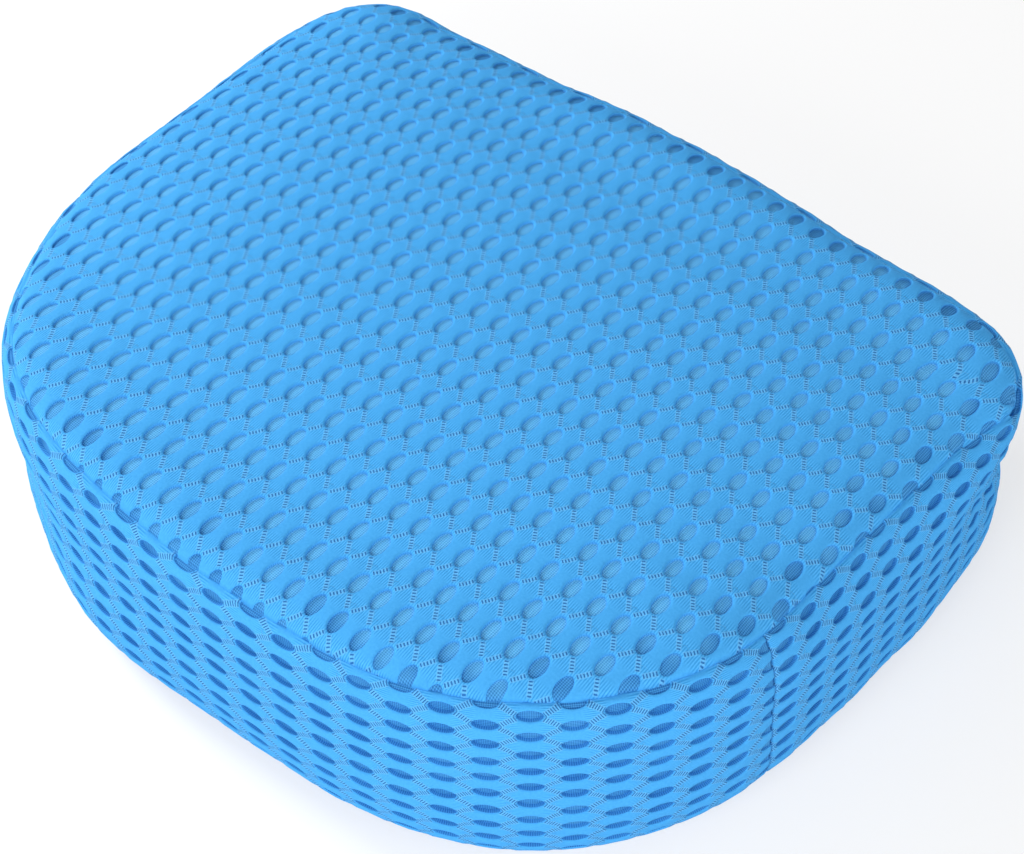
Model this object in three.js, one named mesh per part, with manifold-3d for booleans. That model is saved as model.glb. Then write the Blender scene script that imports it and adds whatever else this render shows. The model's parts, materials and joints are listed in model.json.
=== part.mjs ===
// Bath pillow: a D-shaped foam block in a zipped cover that is sewn from air mesh.
// Millimetres. X runs along the straight back edge, Y towards the back and Z up.
// The origin lies on the underside, in the middle of the plan.

import * as THREE from 'three';
import { mergeVertices } from 'three/addons/utils/BufferGeometryUtils.js';
import Module from 'manifold-3d';

const wasm = await Module();
wasm.setup();

// Plan of the top seam: a straight back, tapered sides and a bowed front
const SEAM_DEPTH = 268.8;
const BACK_WIDTH = 353.5; // side line to side line, at the back edge
const FRONT_WIDTH = 330.4; // side line to side line, at the front edge
const BACK_CORNER_RADIUS = 41;
const FRONT_CORNER_RADIUS = 124;
const FRONT_BOW_RADIUS = 456;
const CORNER_SEAM_Y = -34; // where the front band is sewn to the rear band

// Crown of the top and roll of the two panels towards their seams
const CROWN_Z = 103;
const CROWN_SIDE_FALL = 9.5; // how much lower the crown is over the side seams
const CROWN_END_FALL = 4.5; // how much lower it is over the front and back seams
const TOP_ROLL = 17; // width of the rounded margin inside the top seam
const TOP_ROLL_FALL = 3.4;
const BOTTOM_ROLL = 14; // width of the rounded margin inside the bottom seam
const BOTTOM_SEAM_Z = 5;

// Band: it bulges past its seams and is drawn in below the upper bulge
const TOP_LIP = 10; // reach of the upper bulge past the top seam
const TOP_LIP_HEIGHT = 14;
const BOTTOM_LIP = 12;
const BOTTOM_LIP_HEIGHT = 9;
const BOTTOM_SEAM_REACH = 7;
const WAIST_DEPTH = 2.6;
const WAIST_START = 12; // below the top seam
const WAIST_END = 52;

// Cloth and sewing
const FABRIC = 4; // thickness of the air mesh
const CLEARANCE = 0.4; // gap between neighbouring pieces
const ROLLED_SEAM_EXTRA = 0.5; // a groove that runs round a rolled edge is wider by this
const THREAD_RADIUS = 0.4;
const THREAD_DEPTH = 1.3; // the seams are turned in, so their thread lies below the surface

// Zip in the back of the rear band
const ZIP_Z = 63;
const ZIP_MARGIN = 17; // from the start of a back corner to the end of the tapes
const WINDOW_MARGIN = 1.4; // room for the slider above and below it in the band's slot
const TAPE_WIDTH = 15; // of each of the two tapes
const TAPE_THICKNESS = 0.8;
const TAPE_END = 4; // tape past the end of the coil
const COIL_WIDTH = 2.6;
const COIL_THICKNESS = 2.2;
const STOP_LENGTH = 3;
const STITCH_INSET = 2.5; // stitch row from the slot's edge
const BARTACK_WIDTH = 2;
const BARTACK_THICKNESS = 0.6;

// Slider and pull tab
const SLIDER_LENGTH = 13;
const SLIDER_TAPER = 0.9; // the tail is narrower by this above and below
const WING_THICKNESS = 1.6;
const WEB_THICKNESS = 0.8; // the web runs between the two coils
const WEB_LENGTH = 5;
const FLANGE_THICKNESS = 0.8;
const ARCH_SPAN = 7; // clear length under the arch
const ARCH_BAR = 1.2;
const ARCH_WIDTH = 2.2;
const TAB_LENGTH = 23;
const TAB_WIDTH = 6.4;
const TAB_THICKNESS = 1.4;
const TAB_BAR = 1.2; // cross bar that lies under the arch
const TAB_CORNER = 1.5;

// Faceting of the soft forms
const REAR_STATIONS = 42;
const FRONT_STATIONS = 28;
const BAND_ROWS = 8;
const CROWN_RINGS = [0.4, 0.72, 0.9];
const ROLL_RINGS = 3;
const THREAD_SIDES = 5;

const SAME_POINT = 1e-6; // points closer than this are one
const NUDGE = 1e-3; // step for measuring a slope

const HALF_DEPTH = SEAM_DEPTH / 2;
const CORNER_GAP = 2 * (THREAD_RADIUS + CLEARANCE); // groove between the two bands
const SEAM_GAP = CORNER_GAP + ROLLED_SEAM_EXTRA; // groove between a panel and a band

const materials = {
  mesh: { color: 0x3f9ff0, roughness: 0.85, metalness: 0 },
  foam: { color: 0xe9e7df, roughness: 0.95, metalness: 0 },
  thread: { color: 0x2b7fd0, roughness: 0.7, metalness: 0 },
  tape: { color: 0x3a8fdc, roughness: 0.85, metalness: 0 },
  coil: { color: 0x3388d8, roughness: 0.45, metalness: 0 },
  slider: { color: 0x9aa0a6, roughness: 0.35, metalness: 1 },
};

const part = new THREE.Group();

function addPiece(name, geometry, material) {
  const mesh = new THREE.Mesh(geometry, new THREE.MeshStandardMaterial(materials[material]));
  mesh.name = name;
  part.add(mesh);
}

// Plan outline

// Centres and touching points of the arcs on the right half of the plan
function solvePlan() {
  const backCorner = new THREE.Vector2(BACK_WIDTH / 2, HALF_DEPTH);
  const frontCorner = new THREE.Vector2(FRONT_WIDTH / 2, -HALF_DEPTH);
  const along = frontCorner.clone().sub(backCorner).normalize();
  const outward = new THREE.Vector2(-along.y, along.x);
  const sideStart = backCorner.clone();
  sideStart.addScaledVector(along, (BACK_CORNER_RADIUS * (1 - outward.y)) / -along.y);
  const backCentre = sideStart.clone().addScaledVector(outward, -BACK_CORNER_RADIUS);
  const bowCentre = new THREE.Vector2(0, FRONT_BOW_RADIUS - HALF_DEPTH);
  const inset = backCorner.clone().addScaledVector(outward, -FRONT_CORNER_RADIUS);
  const fromBow = inset.clone().sub(bowCentre);
  const reach = FRONT_BOW_RADIUS - FRONT_CORNER_RADIUS;
  const middle = fromBow.dot(along);
  const slide = -middle + Math.sqrt(middle * middle - fromBow.lengthSq() + reach * reach);
  const frontCentre = inset.clone().addScaledVector(along, slide);
  const sideEnd = frontCentre.clone().addScaledVector(outward, FRONT_CORNER_RADIUS);
  const sideAngle = outward.angle();
  const bowAngle = frontCentre.clone().sub(bowCentre).angle() - 2 * Math.PI;
  return { backCentre, frontCentre, bowCentre, sideStart, sideEnd, sideAngle, bowAngle };
}

const { backCentre, frontCentre, bowCentre, sideStart, sideEnd, sideAngle, bowAngle } = solvePlan();

// The top seam, clockwise from the middle of the back, with its length as parameter
function drawPlan() {
  const quarter = Math.PI / 2;
  const path = new THREE.Path();
  path.moveTo(0, HALF_DEPTH);
  path.lineTo(backCentre.x, HALF_DEPTH);
  path.absarc(backCentre.x, backCentre.y, BACK_CORNER_RADIUS, quarter, sideAngle, true);
  path.lineTo(sideEnd.x, sideEnd.y);
  path.absarc(frontCentre.x, frontCentre.y, FRONT_CORNER_RADIUS, sideAngle, bowAngle, true);
  path.absarc(0, bowCentre.y, FRONT_BOW_RADIUS, bowAngle, -Math.PI - bowAngle, true);
  path.absarc(
    -frontCentre.x, frontCentre.y, FRONT_CORNER_RADIUS, -Math.PI - bowAngle, -Math.PI - sideAngle, true);
  path.lineTo(-sideStart.x, sideStart.y);
  path.absarc(-backCentre.x, backCentre.y, BACK_CORNER_RADIUS, Math.PI - sideAngle, quarter, true);
  path.lineTo(0, HALF_DEPTH);
  return path;
}

const plan = drawPlan();
const PLAN_LENGTH = plan.getLength();

// Height of the crowned top, before it rolls down to its seam
function crownHeight(x, y) {
  const side = (2 * x) / BACK_WIDTH;
  const end = y / HALF_DEPTH;
  return CROWN_Z - CROWN_SIDE_FALL * side ** 4 - CROWN_END_FALL * end ** 2;
}

// A station of the outline: a point on the top seam with its outward normal and its height
function stationAt(share) {
  const wrapped = ((share % 1) + 1) % 1;
  const here = plan.getPoint(wrapped);
  const before = plan.getPoint((wrapped - NUDGE / 10 + 1) % 1);
  const after = plan.getPoint((wrapped + NUDGE / 10) % 1);
  const tangent = after.sub(before).normalize();
  const normal = new THREE.Vector2(-tangent.y, tangent.x);
  return { point: here, normal, seamZ: crownHeight(here.x, here.y) - TOP_ROLL_FALL };
}

// Share of the outline at which the right side reaches the corner seam
function findCornerSeam() {
  let low = 0;
  let high = 0.5;
  for (let halving = 0; halving < 40; halving += 1) {
    const middle = (low + high) / 2;
    if (plan.getPoint(middle).y > CORNER_SEAM_Y) {
      low = middle;
    } else {
      high = middle;
    }
  }
  return low;
}

function spread(from, to, count) {
  return Array.from({ length: count + 1 }, (_, index) => from + ((to - from) * index) / count);
}

const cornerShare = findCornerSeam();
const rearShares = spread(-cornerShare, cornerShare, REAR_STATIONS);
const frontShares = spread(cornerShare, 1 - cornerShare, FRONT_STATIONS);
const ringShares = [...rearShares.slice(0, -1), ...frontShares.slice(0, -1)];
const ringStations = ringShares.map(stationAt);

// A point at a distance outside the top seam, at a given height
function outsidePoint(station, reach, z) {
  const { point, normal } = station;
  return new THREE.Vector3(point.x + normal.x * reach, point.y + normal.y * reach, z);
}

// Closed surfaces

// Triangles from four-cornered patches; a patch with two corners on one point is a triangle
function skinGeometry(patches) {
  const positions = [];
  const push = (a, b, c) => {
    if (Math.min(a.distanceTo(b), b.distanceTo(c), c.distanceTo(a)) > SAME_POINT) {
      positions.push(...a.toArray(), ...b.toArray(), ...c.toArray());
    }
  };
  for (const [a, b, c, d] of patches) {
    push(a, b, c);
    push(a, c, d);
  }
  const geometry = new THREE.BufferGeometry();
  geometry.setAttribute('position', new THREE.Float32BufferAttribute(positions, 3));
  return geometry;
}

// Patches between neighbouring columns of points, seen from their outer side
function patchRows(columns, closed) {
  const patches = [];
  const last = closed ? columns.length : columns.length - 1;
  for (let column = 0; column < last; column += 1) {
    const here = columns[column];
    const next = columns[(column + 1) % columns.length];
    for (let row = 0; row + 1 < here.length; row += 1) {
      patches.push([here[row], next[row], next[row + 1], here[row + 1]]);
    }
  }
  return patches;
}

function flip(patches) {
  return patches.map(([a, b, c, d]) => [d, c, b, a]);
}

// A cloth layer between its outer and inner columns, with its edges closed
function layerGeometry(outer, inner, closed) {
  const last = outer[0].length - 1;
  const rim = (row) => outer.map((column, index) => [column[row], inner[index][row]]);
  const patches = [...patchRows(outer, closed), ...flip(patchRows(inner, closed))];
  patches.push(...flip(patchRows(rim(0), closed)));
  patches.push(...patchRows(rim(last), closed));
  if (!closed) {
    const end = outer.length - 1;
    for (let row = 0; row < last; row += 1) {
      patches.push([outer[0][row], outer[0][row + 1], inner[0][row + 1], inner[0][row]]);
      patches.push([inner[end][row], inner[end][row + 1], outer[end][row + 1], outer[end][row]]);
    }
  }
  return skinGeometry(patches);
}

// A round thread along a line of points; across is any direction that is not along the line
function threadGeometry(points, across, closed) {
  const count = points.length;
  const columns = points.map((point, index) => {
    const before = points[closed ? (index + count - 1) % count : Math.max(index - 1, 0)];
    const after = points[closed ? (index + 1) % count : Math.min(index + 1, count - 1)];
    const along = after.clone().sub(before).normalize();
    const side = new THREE.Vector3().crossVectors(along, across).normalize();
    const up = new THREE.Vector3().crossVectors(side, along);
    return spread(0, 2 * Math.PI, THREAD_SIDES).map((angle) => point.clone()
      .addScaledVector(side, THREAD_RADIUS * Math.cos(angle % (2 * Math.PI)))
      .addScaledVector(up, THREAD_RADIUS * Math.sin(angle % (2 * Math.PI))));
  });
  const patches = patchRows(columns, closed);
  if (!closed) {
    const first = columns[0];
    const last = columns[count - 1];
    for (let side = 0; side < THREAD_SIDES; side += 1) {
      patches.push([points[0], first[side], first[side + 1], first[side + 1]]);
      patches.push([points[count - 1], last[side + 1], last[side], last[side]]);
    }
  }
  return skinGeometry(patches);
}

// Crowned panels

// Height of the top and of the underside; edge is 0 inside the rolled margin, 1 at the seam
function topHeight(x, y, edge) {
  return crownHeight(x, y) - TOP_ROLL_FALL * edge * edge;
}

function undersideHeight(x, y, edge) {
  return BOTTOM_SEAM_Z * edge * edge;
}

// Point of a panel on a station's line from the middle (ring 0) over the margin (ring 1 to 2)
function panelPoint(station, ring, seamReach, roll, height) {
  const edge = Math.max(ring - 1, 0);
  const margin = outsidePoint(station, seamReach - roll * (1 - edge), 0);
  const scale = Math.min(ring, 1);
  const x = margin.x * scale;
  const y = margin.y * scale;
  return new THREE.Vector3(x, y, height(x, y, edge));
}

const panelRings = [0, ...CROWN_RINGS, ...spread(1, 2, ROLL_RINGS)];

// Columns of one panel at a depth under its outer face; up is 1 on top and -1 on the underside
function panelColumns(depth, seamReach, roll, height, up) {
  return ringShares.map((share, index) => panelRings.map((ring) => {
    const place = panelPoint(ringStations[index], ring, seamReach, roll, height);
    if (ring === 0) {
      return place.setZ(place.z - up * depth);
    }
    const inner = panelPoint(ringStations[index], ring - NUDGE, seamReach, roll, height);
    const before = panelPoint(stationAt(share - NUDGE), ring, seamReach, roll, height);
    const after = panelPoint(stationAt(share + NUDGE), ring, seamReach, roll, height);
    const outwards = place.clone().sub(inner);
    const normal = new THREE.Vector3().crossVectors(outwards, before.sub(after)).normalize();
    return place.addScaledVector(normal, normal.z * up > 0 ? -depth : depth);
  }));
}

function topColumns(depth) {
  return panelColumns(depth, 0, TOP_ROLL, topHeight, 1);
}

function undersideColumns(depth) {
  return panelColumns(depth, BOTTOM_SEAM_REACH, BOTTOM_ROLL, undersideHeight, -1);
}

// Band between its two seams

// Reach of the band past the top seam, at a distance below the top and above the bottom seam
function bandReach(below, above) {
  const share = below / (below + above);
  const waist = THREE.MathUtils.clamp((below - WAIST_START) / (WAIST_END - WAIST_START), 0, 1);
  const drawnIn = WAIST_DEPTH * Math.sin(Math.PI * waist) ** 2;
  const body = THREE.MathUtils.lerp(TOP_LIP, BOTTOM_LIP, share) - drawnIn;
  const topShoulder = Math.sin((Math.PI / 2) * Math.min(below / TOP_LIP_HEIGHT, 1));
  const bottomShoulder = Math.sin((Math.PI / 2) * Math.min(above / BOTTOM_LIP_HEIGHT, 1));
  return body * topShoulder + (BOTTOM_SEAM_REACH - body) * (1 - bottomShoulder);
}

// Section of the band, x as reach past the top seam and y as height, drawn back from both seams
function bandSection(station) {
  const height = station.seamZ - BOTTOM_SEAM_Z;
  const points = spread(0, Math.PI, BAND_ROWS).map((turn) => {
    const below = (height * (1 - Math.cos(turn))) / 2;
    return new THREE.Vector2(bandReach(below, height - below), station.seamZ - below);
  });
  const trim = (end, next) => end.addScaledVector(next.clone().sub(end).normalize(), SEAM_GAP);
  trim(points[0], points[1]);
  trim(points[BAND_ROWS], points[BAND_ROWS - 1]);
  return points;
}

// The section moved inwards by a depth
function insetSection(station, depth) {
  const points = bandSection(station);
  return points.map((point, index) => {
    const before = points[Math.max(index - 1, 0)];
    const after = points[Math.min(index + 1, BAND_ROWS)];
    const along = after.clone().sub(before).normalize();
    return new THREE.Vector2(point.x + along.y * depth, point.y - along.x * depth);
  });
}

// How far a section reaches at a given height
function sectionReach(section, z) {
  for (let row = 1; row <= BAND_ROWS; row += 1) {
    const upper = section[row - 1];
    const lower = section[row];
    if (z <= upper.y && z >= lower.y) {
      return THREE.MathUtils.mapLinear(z, upper.y, lower.y, upper.x, lower.x);
    }
  }
  return section[BAND_ROWS].x;
}

function bandColumns(stations, depth) {
  return stations.map((station) => insetSection(station, depth)
    .map((point) => outsidePoint(station, point.x, point.y)));
}

// Stations of a band with its two ends drawn back from the corner seams
function bandStations(shares) {
  const back = CORNER_GAP / 2 / PLAN_LENGTH;
  const last = shares.length - 1;
  const trimmed = [shares[0] + back, ...shares.slice(1, last), shares[last] - back];
  return trimmed.map(stationAt);
}

function bandGeometry(shares) {
  const stations = bandStations(shares);
  return layerGeometry(bandColumns(stations, 0), bandColumns(stations, FABRIC), false);
}

// Solids that are cut or joined

function toSolid(geometry) {
  const bare = geometry.clone();
  bare.deleteAttribute('normal');
  bare.deleteAttribute('uv');
  const merged = mergeVertices(bare);
  const vertProperties = Float32Array.from(merged.attributes.position.array);
  const triVerts = Uint32Array.from(merged.index.array);
  return new wasm.Manifold(new wasm.Mesh({ numProp: 3, vertProperties, triVerts }));
}

function toGeometry(solid) {
  const mesh = solid.getMesh();
  const geometry = new THREE.BufferGeometry();
  geometry.setAttribute('position', new THREE.BufferAttribute(mesh.vertProperties, 3));
  geometry.setIndex(new THREE.BufferAttribute(mesh.triVerts, 1));
  return geometry;
}

function boxGeometry(low, high) {
  const size = high.map((value, axis) => value - low[axis]);
  const centre = high.map((value, axis) => (value + low[axis]) / 2);
  return new THREE.BoxGeometry(...size).translate(...centre);
}

// A shape drawn in X and Z, given a thickness from its face towards the front
function plateGeometry(shape, faceY, thickness) {
  const plate = new THREE.ExtrudeGeometry(shape, { depth: thickness, bevelEnabled: false });
  return plate.rotateX(Math.PI / 2).translate(0, faceY, 0);
}

// Where the layers of the zip lie, from the foam outwards

const COIL_SLOT = WEB_THICKNESS + 2 * CLEARANCE;
const COIL_REACH = COIL_SLOT / 2 + COIL_WIDTH;
const TAPE_REACH = COIL_SLOT / 2 + TAPE_WIDTH;
const SLIDER_REACH = COIL_REACH + CLEARANCE + FLANGE_THICKNESS;
const WINDOW_REACH = SLIDER_REACH + WINDOW_MARGIN;
const TAPE_LENGTH = 2 * (backCentre.x - ZIP_MARGIN);
const WINDOW_LENGTH = TAPE_LENGTH - 2 * TAPE_END;
const ZIP_LENGTH = WINDOW_LENGTH - 2 * (STOP_LENGTH + CLEARANCE);

const zipStations = ringStations.filter(({ point }) => Math.abs(point.x) < TAPE_LENGTH / 2 && point.y > 0);

// Least and most reach of the back at a depth, between two heights
function backReach(depth, low, high) {
  const reaches = zipStations.flatMap((station) => {
    const section = insetSection(station, depth);
    return spread(low, high, 2 * BAND_ROWS).map((z) => sectionReach(section, z));
  });
  return { least: Math.min(...reaches), most: Math.max(...reaches) };
}

const lining = backReach(FABRIC, ZIP_Z - TAPE_REACH, ZIP_Z + TAPE_REACH);
const TAPE_FRONT = HALF_DEPTH + lining.least - CLEARANCE;
const TAPE_BACK = TAPE_FRONT - TAPE_THICKNESS;
const COIL_BACK = TAPE_FRONT + CLEARANCE / 2;
const COIL_FRONT = COIL_BACK + COIL_THICKNESS;
const WING_BACK = COIL_FRONT + CLEARANCE;
const WING_FRONT = WING_BACK + WING_THICKNESS;
const REAR_WING_FRONT = TAPE_BACK - CLEARANCE;
const REAR_WING_BACK = REAR_WING_FRONT - WING_THICKNESS;
const windowSkin = backReach(0, ZIP_Z - WINDOW_REACH, ZIP_Z + WINDOW_REACH);
const BARTACK_BACK = HALF_DEPTH + windowSkin.most + CLEARANCE / 2;
const BARTACK_FRONT = BARTACK_BACK + BARTACK_THICKNESS;
const TAB_SWEEP = Math.hypot(TAB_BAR, TAB_THICKNESS) / 2;
const PIVOT_Y = CLEARANCE + Math.max(WING_FRONT + TAB_SWEEP, BARTACK_FRONT + TAB_THICKNESS / 2);
const ARCH_ROOF = PIVOT_Y + TAB_SWEEP + CLEARANCE;
const OUTSIDE_Y = HALF_DEPTH + TOP_LIP + BOTTOM_LIP; // clear of the back, for cutting

// Foam, with a pocket behind the zip

function foamGeometry() {
  const depth = FABRIC + CLEARANCE;
  const top = topColumns(depth);
  const band = bandColumns(ringStations, depth);
  const underside = undersideColumns(depth);
  const columns = top.map((column, index) => [
    ...column, ...band[index], ...underside[index].toReversed()]);
  const block = toSolid(skinGeometry(patchRows(columns, true)));
  const reachX = TAPE_LENGTH / 2 + CLEARANCE;
  const reachZ = TAPE_REACH + CLEARANCE;
  const pocket = boxGeometry(
    [-reachX, REAR_WING_BACK - CLEARANCE, ZIP_Z - reachZ],
    [reachX, OUTSIDE_Y, ZIP_Z + reachZ]);
  return toGeometry(block.subtract(toSolid(pocket)));
}

function rearBandGeometry() {
  const slot = boxGeometry(
    [-WINDOW_LENGTH / 2, TAPE_BACK, ZIP_Z - WINDOW_REACH],
    [WINDOW_LENGTH / 2, OUTSIDE_Y, ZIP_Z + WINDOW_REACH]);
  return toGeometry(toSolid(bandGeometry(rearShares)).subtract(toSolid(slot)));
}

// Thread of a turned-in seam, between the edges of a panel and of the bands
function seamThread(panelOuter, panelInner, bandRow) {
  const skin = bandColumns(ringStations, 0);
  const inside = bandColumns(ringStations, FABRIC);
  const rim = panelRings.length - 1;
  const points = ringStations.map((station, index) => {
    const panelIn = panelInner[index][rim].clone().sub(panelOuter[index][rim]).normalize();
    const bandIn = inside[index][bandRow].clone().sub(skin[index][bandRow]).normalize();
    const seam = panelOuter[index][rim].clone().add(skin[index][bandRow]).multiplyScalar(0.5);
    return seam.addScaledVector(panelIn.add(bandIn).normalize(), THREAD_DEPTH);
  });
  return threadGeometry(points, new THREE.Vector3(0, 0, 1), true);
}

function cornerThread(share) {
  const station = stationAt(share);
  const points = insetSection(station, THREAD_DEPTH)
    .map((point) => outsidePoint(station, point.x, point.y));
  const across = new THREE.Vector3(-station.normal.y, station.normal.x, 0);
  return threadGeometry(points, across, false);
}

// The cover and its filling

addPiece('foam_core', foamGeometry(), 'foam');
addPiece('top_panel', layerGeometry(topColumns(0), topColumns(FABRIC), true), 'mesh');
const underside = layerGeometry(undersideColumns(FABRIC), undersideColumns(0), true);
addPiece('bottom_panel', underside, 'mesh');
addPiece('front_band', bandGeometry(frontShares), 'mesh');
addPiece('rear_band', rearBandGeometry(), 'mesh');
addPiece('top_seam_thread', seamThread(topColumns(0), topColumns(FABRIC), 0), 'thread');
const bottomThread = seamThread(undersideColumns(0), undersideColumns(FABRIC), BAND_ROWS);
addPiece('bottom_seam_thread', bottomThread, 'thread');
addPiece('corner_seam_thread_right', cornerThread(cornerShare), 'thread');
addPiece('corner_seam_thread_left', cornerThread(1 - cornerShare), 'thread');

// Zip: tapes, coils, stops and the sewing that holds them

for (const [name, up] of [['upper', 1], ['lower', -1]]) {
  const heights = (from, to) => [ZIP_Z + up * from, ZIP_Z + up * to].sort((a, b) => a - b);
  const [tapeLow, tapeHigh] = heights(COIL_SLOT / 2, TAPE_REACH);
  addPiece(`zip_tape_${name}`, boxGeometry(
    [-TAPE_LENGTH / 2, TAPE_BACK, tapeLow], [TAPE_LENGTH / 2, TAPE_FRONT, tapeHigh]), 'tape');
  const [coilLow, coilHigh] = heights(COIL_SLOT / 2, COIL_REACH);
  addPiece(`zip_coil_${name}`, boxGeometry(
    [-ZIP_LENGTH / 2, COIL_BACK, coilLow], [ZIP_LENGTH / 2, COIL_FRONT, coilHigh]), 'coil');
  const stitchZ = ZIP_Z + up * (WINDOW_REACH + STITCH_INSET);
  const stitchReach = backReach(0, stitchZ - THREAD_RADIUS, stitchZ + THREAD_RADIUS).most;
  const stitchY = HALF_DEPTH + stitchReach + THREAD_RADIUS + CLEARANCE / 2;
  const stitchEnds = spread(-WINDOW_LENGTH / 2, WINDOW_LENGTH / 2, 2);
  const row = stitchEnds.map((x) => new THREE.Vector3(x, stitchY, stitchZ));
  addPiece(`zip_stitch_${name}`, threadGeometry(row, new THREE.Vector3(0, 0, 1), false), 'thread');
}

for (const [name, side] of [['right', 1], ['left', -1]]) {
  const across = (from, to) => [side * from, side * to].sort((a, b) => a - b);
  const [stopLow, stopHigh] = across(ZIP_LENGTH / 2 + CLEARANCE, ZIP_LENGTH / 2 + STOP_LENGTH);
  addPiece(`zip_stop_${name}`, boxGeometry(
    [stopLow, COIL_BACK, ZIP_Z - COIL_REACH], [stopHigh, COIL_FRONT, ZIP_Z + COIL_REACH]), 'coil');
  const tackStart = WINDOW_LENGTH / 2 + CLEARANCE;
  const [tackLow, tackHigh] = across(tackStart, tackStart + BARTACK_WIDTH);
  addPiece(`zip_bartack_${name}`, boxGeometry(
    [tackLow, BARTACK_BACK, ZIP_Z - WINDOW_REACH],
    [tackHigh, BARTACK_FRONT, ZIP_Z + WINDOW_REACH]), 'thread');
}

// Slider at the closed end of the zip, on the right

const SLIDER_X = ZIP_LENGTH / 2 - SLIDER_LENGTH / 2 - CLEARANCE;

// Plan of a wing: wide where the two coils enter, narrower where they leave as one
function wingShape() {
  const half = SLIDER_LENGTH / 2;
  const tail = SLIDER_REACH - SLIDER_TAPER;
  const shape = new THREE.Shape();
  shape.moveTo(SLIDER_X + half, ZIP_Z - SLIDER_REACH);
  shape.lineTo(SLIDER_X + half, ZIP_Z + SLIDER_REACH);
  shape.lineTo(SLIDER_X, ZIP_Z + SLIDER_REACH);
  shape.lineTo(SLIDER_X - half, ZIP_Z + tail);
  shape.lineTo(SLIDER_X - half, ZIP_Z - tail);
  shape.lineTo(SLIDER_X, ZIP_Z - SLIDER_REACH);
  shape.closePath();
  return shape;
}

// The arch stands on the front wing and runs along the zip; the tab's cross bar lies under it
function archGeometry() {
  const inner = ARCH_SPAN / 2;
  const outer = inner + ARCH_BAR;
  const foot = WING_FRONT - WING_THICKNESS / 2;
  const roof = ARCH_ROOF + ARCH_BAR;
  const shape = new THREE.Shape();
  shape.moveTo(SLIDER_X - outer, foot);
  shape.lineTo(SLIDER_X - outer, roof - ARCH_BAR);
  shape.quadraticCurveTo(SLIDER_X - outer, roof, SLIDER_X - inner, roof);
  shape.lineTo(SLIDER_X + inner, roof);
  shape.quadraticCurveTo(SLIDER_X + outer, roof, SLIDER_X + outer, roof - ARCH_BAR);
  shape.lineTo(SLIDER_X + outer, foot);
  shape.lineTo(SLIDER_X + inner, foot);
  shape.lineTo(SLIDER_X + inner, ARCH_ROOF);
  shape.lineTo(SLIDER_X - inner, ARCH_ROOF);
  shape.lineTo(SLIDER_X - inner, foot);
  shape.closePath();
  const arch = new THREE.ExtrudeGeometry(
    shape, { depth: ARCH_WIDTH, bevelEnabled: false, curveSegments: 4 });
  return arch.translate(0, 0, ZIP_Z - ARCH_WIDTH / 2);
}

function sliderGeometry() {
  const pieces = [
    plateGeometry(wingShape(), REAR_WING_FRONT, WING_THICKNESS),
    boxGeometry(
      [SLIDER_X + SLIDER_LENGTH / 2 - WEB_LENGTH, REAR_WING_BACK, ZIP_Z - WEB_THICKNESS / 2],
      [SLIDER_X + SLIDER_LENGTH / 2, WING_FRONT, ZIP_Z + WEB_THICKNESS / 2]),
    archGeometry(),
  ];
  for (const up of [1, -1]) {
    const heights = [ZIP_Z + up * (SLIDER_REACH - FLANGE_THICKNESS), ZIP_Z + up * SLIDER_REACH];
    pieces.push(boxGeometry(
      [SLIDER_X, TAPE_FRONT + CLEARANCE, Math.min(...heights)],
      [SLIDER_X + SLIDER_LENGTH / 2, WING_FRONT, Math.max(...heights)]));
  }
  const frontWing = toSolid(plateGeometry(wingShape(), WING_FRONT, WING_THICKNESS));
  return toGeometry(pieces.reduce((solid, piece) => solid.add(toSolid(piece)), frontWing));
}

// Flat tab that lies back along the closed zip, its eye round the arch
function tabGeometry() {
  const start = SLIDER_X + TAB_BAR / 2;
  const end = start - TAB_LENGTH;
  const half = TAB_WIDTH / 2;
  const shape = new THREE.Shape();
  shape.moveTo(start, ZIP_Z - half);
  shape.lineTo(start, ZIP_Z + half);
  shape.lineTo(end + TAB_CORNER, ZIP_Z + half);
  shape.quadraticCurveTo(end, ZIP_Z + half, end, ZIP_Z + half - TAB_CORNER);
  shape.lineTo(end, ZIP_Z - half + TAB_CORNER);
  shape.quadraticCurveTo(end, ZIP_Z - half, end + TAB_CORNER, ZIP_Z - half);
  shape.closePath();
  const archSweep = Math.hypot(ARCH_SPAN / 2 + ARCH_BAR, ARCH_ROOF + ARCH_BAR - PIVOT_Y);
  const eye = ARCH_WIDTH / 2 + CLEARANCE;
  const eyeStart = start - TAB_BAR;
  const eyeEnd = SLIDER_X - archSweep - CLEARANCE;
  const hole = new THREE.Path();
  hole.moveTo(eyeStart, ZIP_Z - eye);
  hole.lineTo(eyeEnd, ZIP_Z - eye);
  hole.lineTo(eyeEnd, ZIP_Z + eye);
  hole.lineTo(eyeStart, ZIP_Z + eye);
  hole.closePath();
  shape.holes.push(hole);
  return plateGeometry(shape, PIVOT_Y + TAB_THICKNESS / 2, TAB_THICKNESS);
}

addPiece('zip_slider', sliderGeometry(), 'slider');
addPiece('zip_pull_tab', tabGeometry(), 'slider');

export default part;
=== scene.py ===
# %% [markdown]
# # Bath pillow in air mesh
# A bath pillow is a block of foam in a sewn, zipped cover. The cover is air mesh: a thick knit with rows of
# oval eyelets, which lets water run through. This script dresses the plain solids of the part with that
# cover, step by step: the swollen block first, then the cloth with every eyelet, then the sewing and the
# zip.

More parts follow.
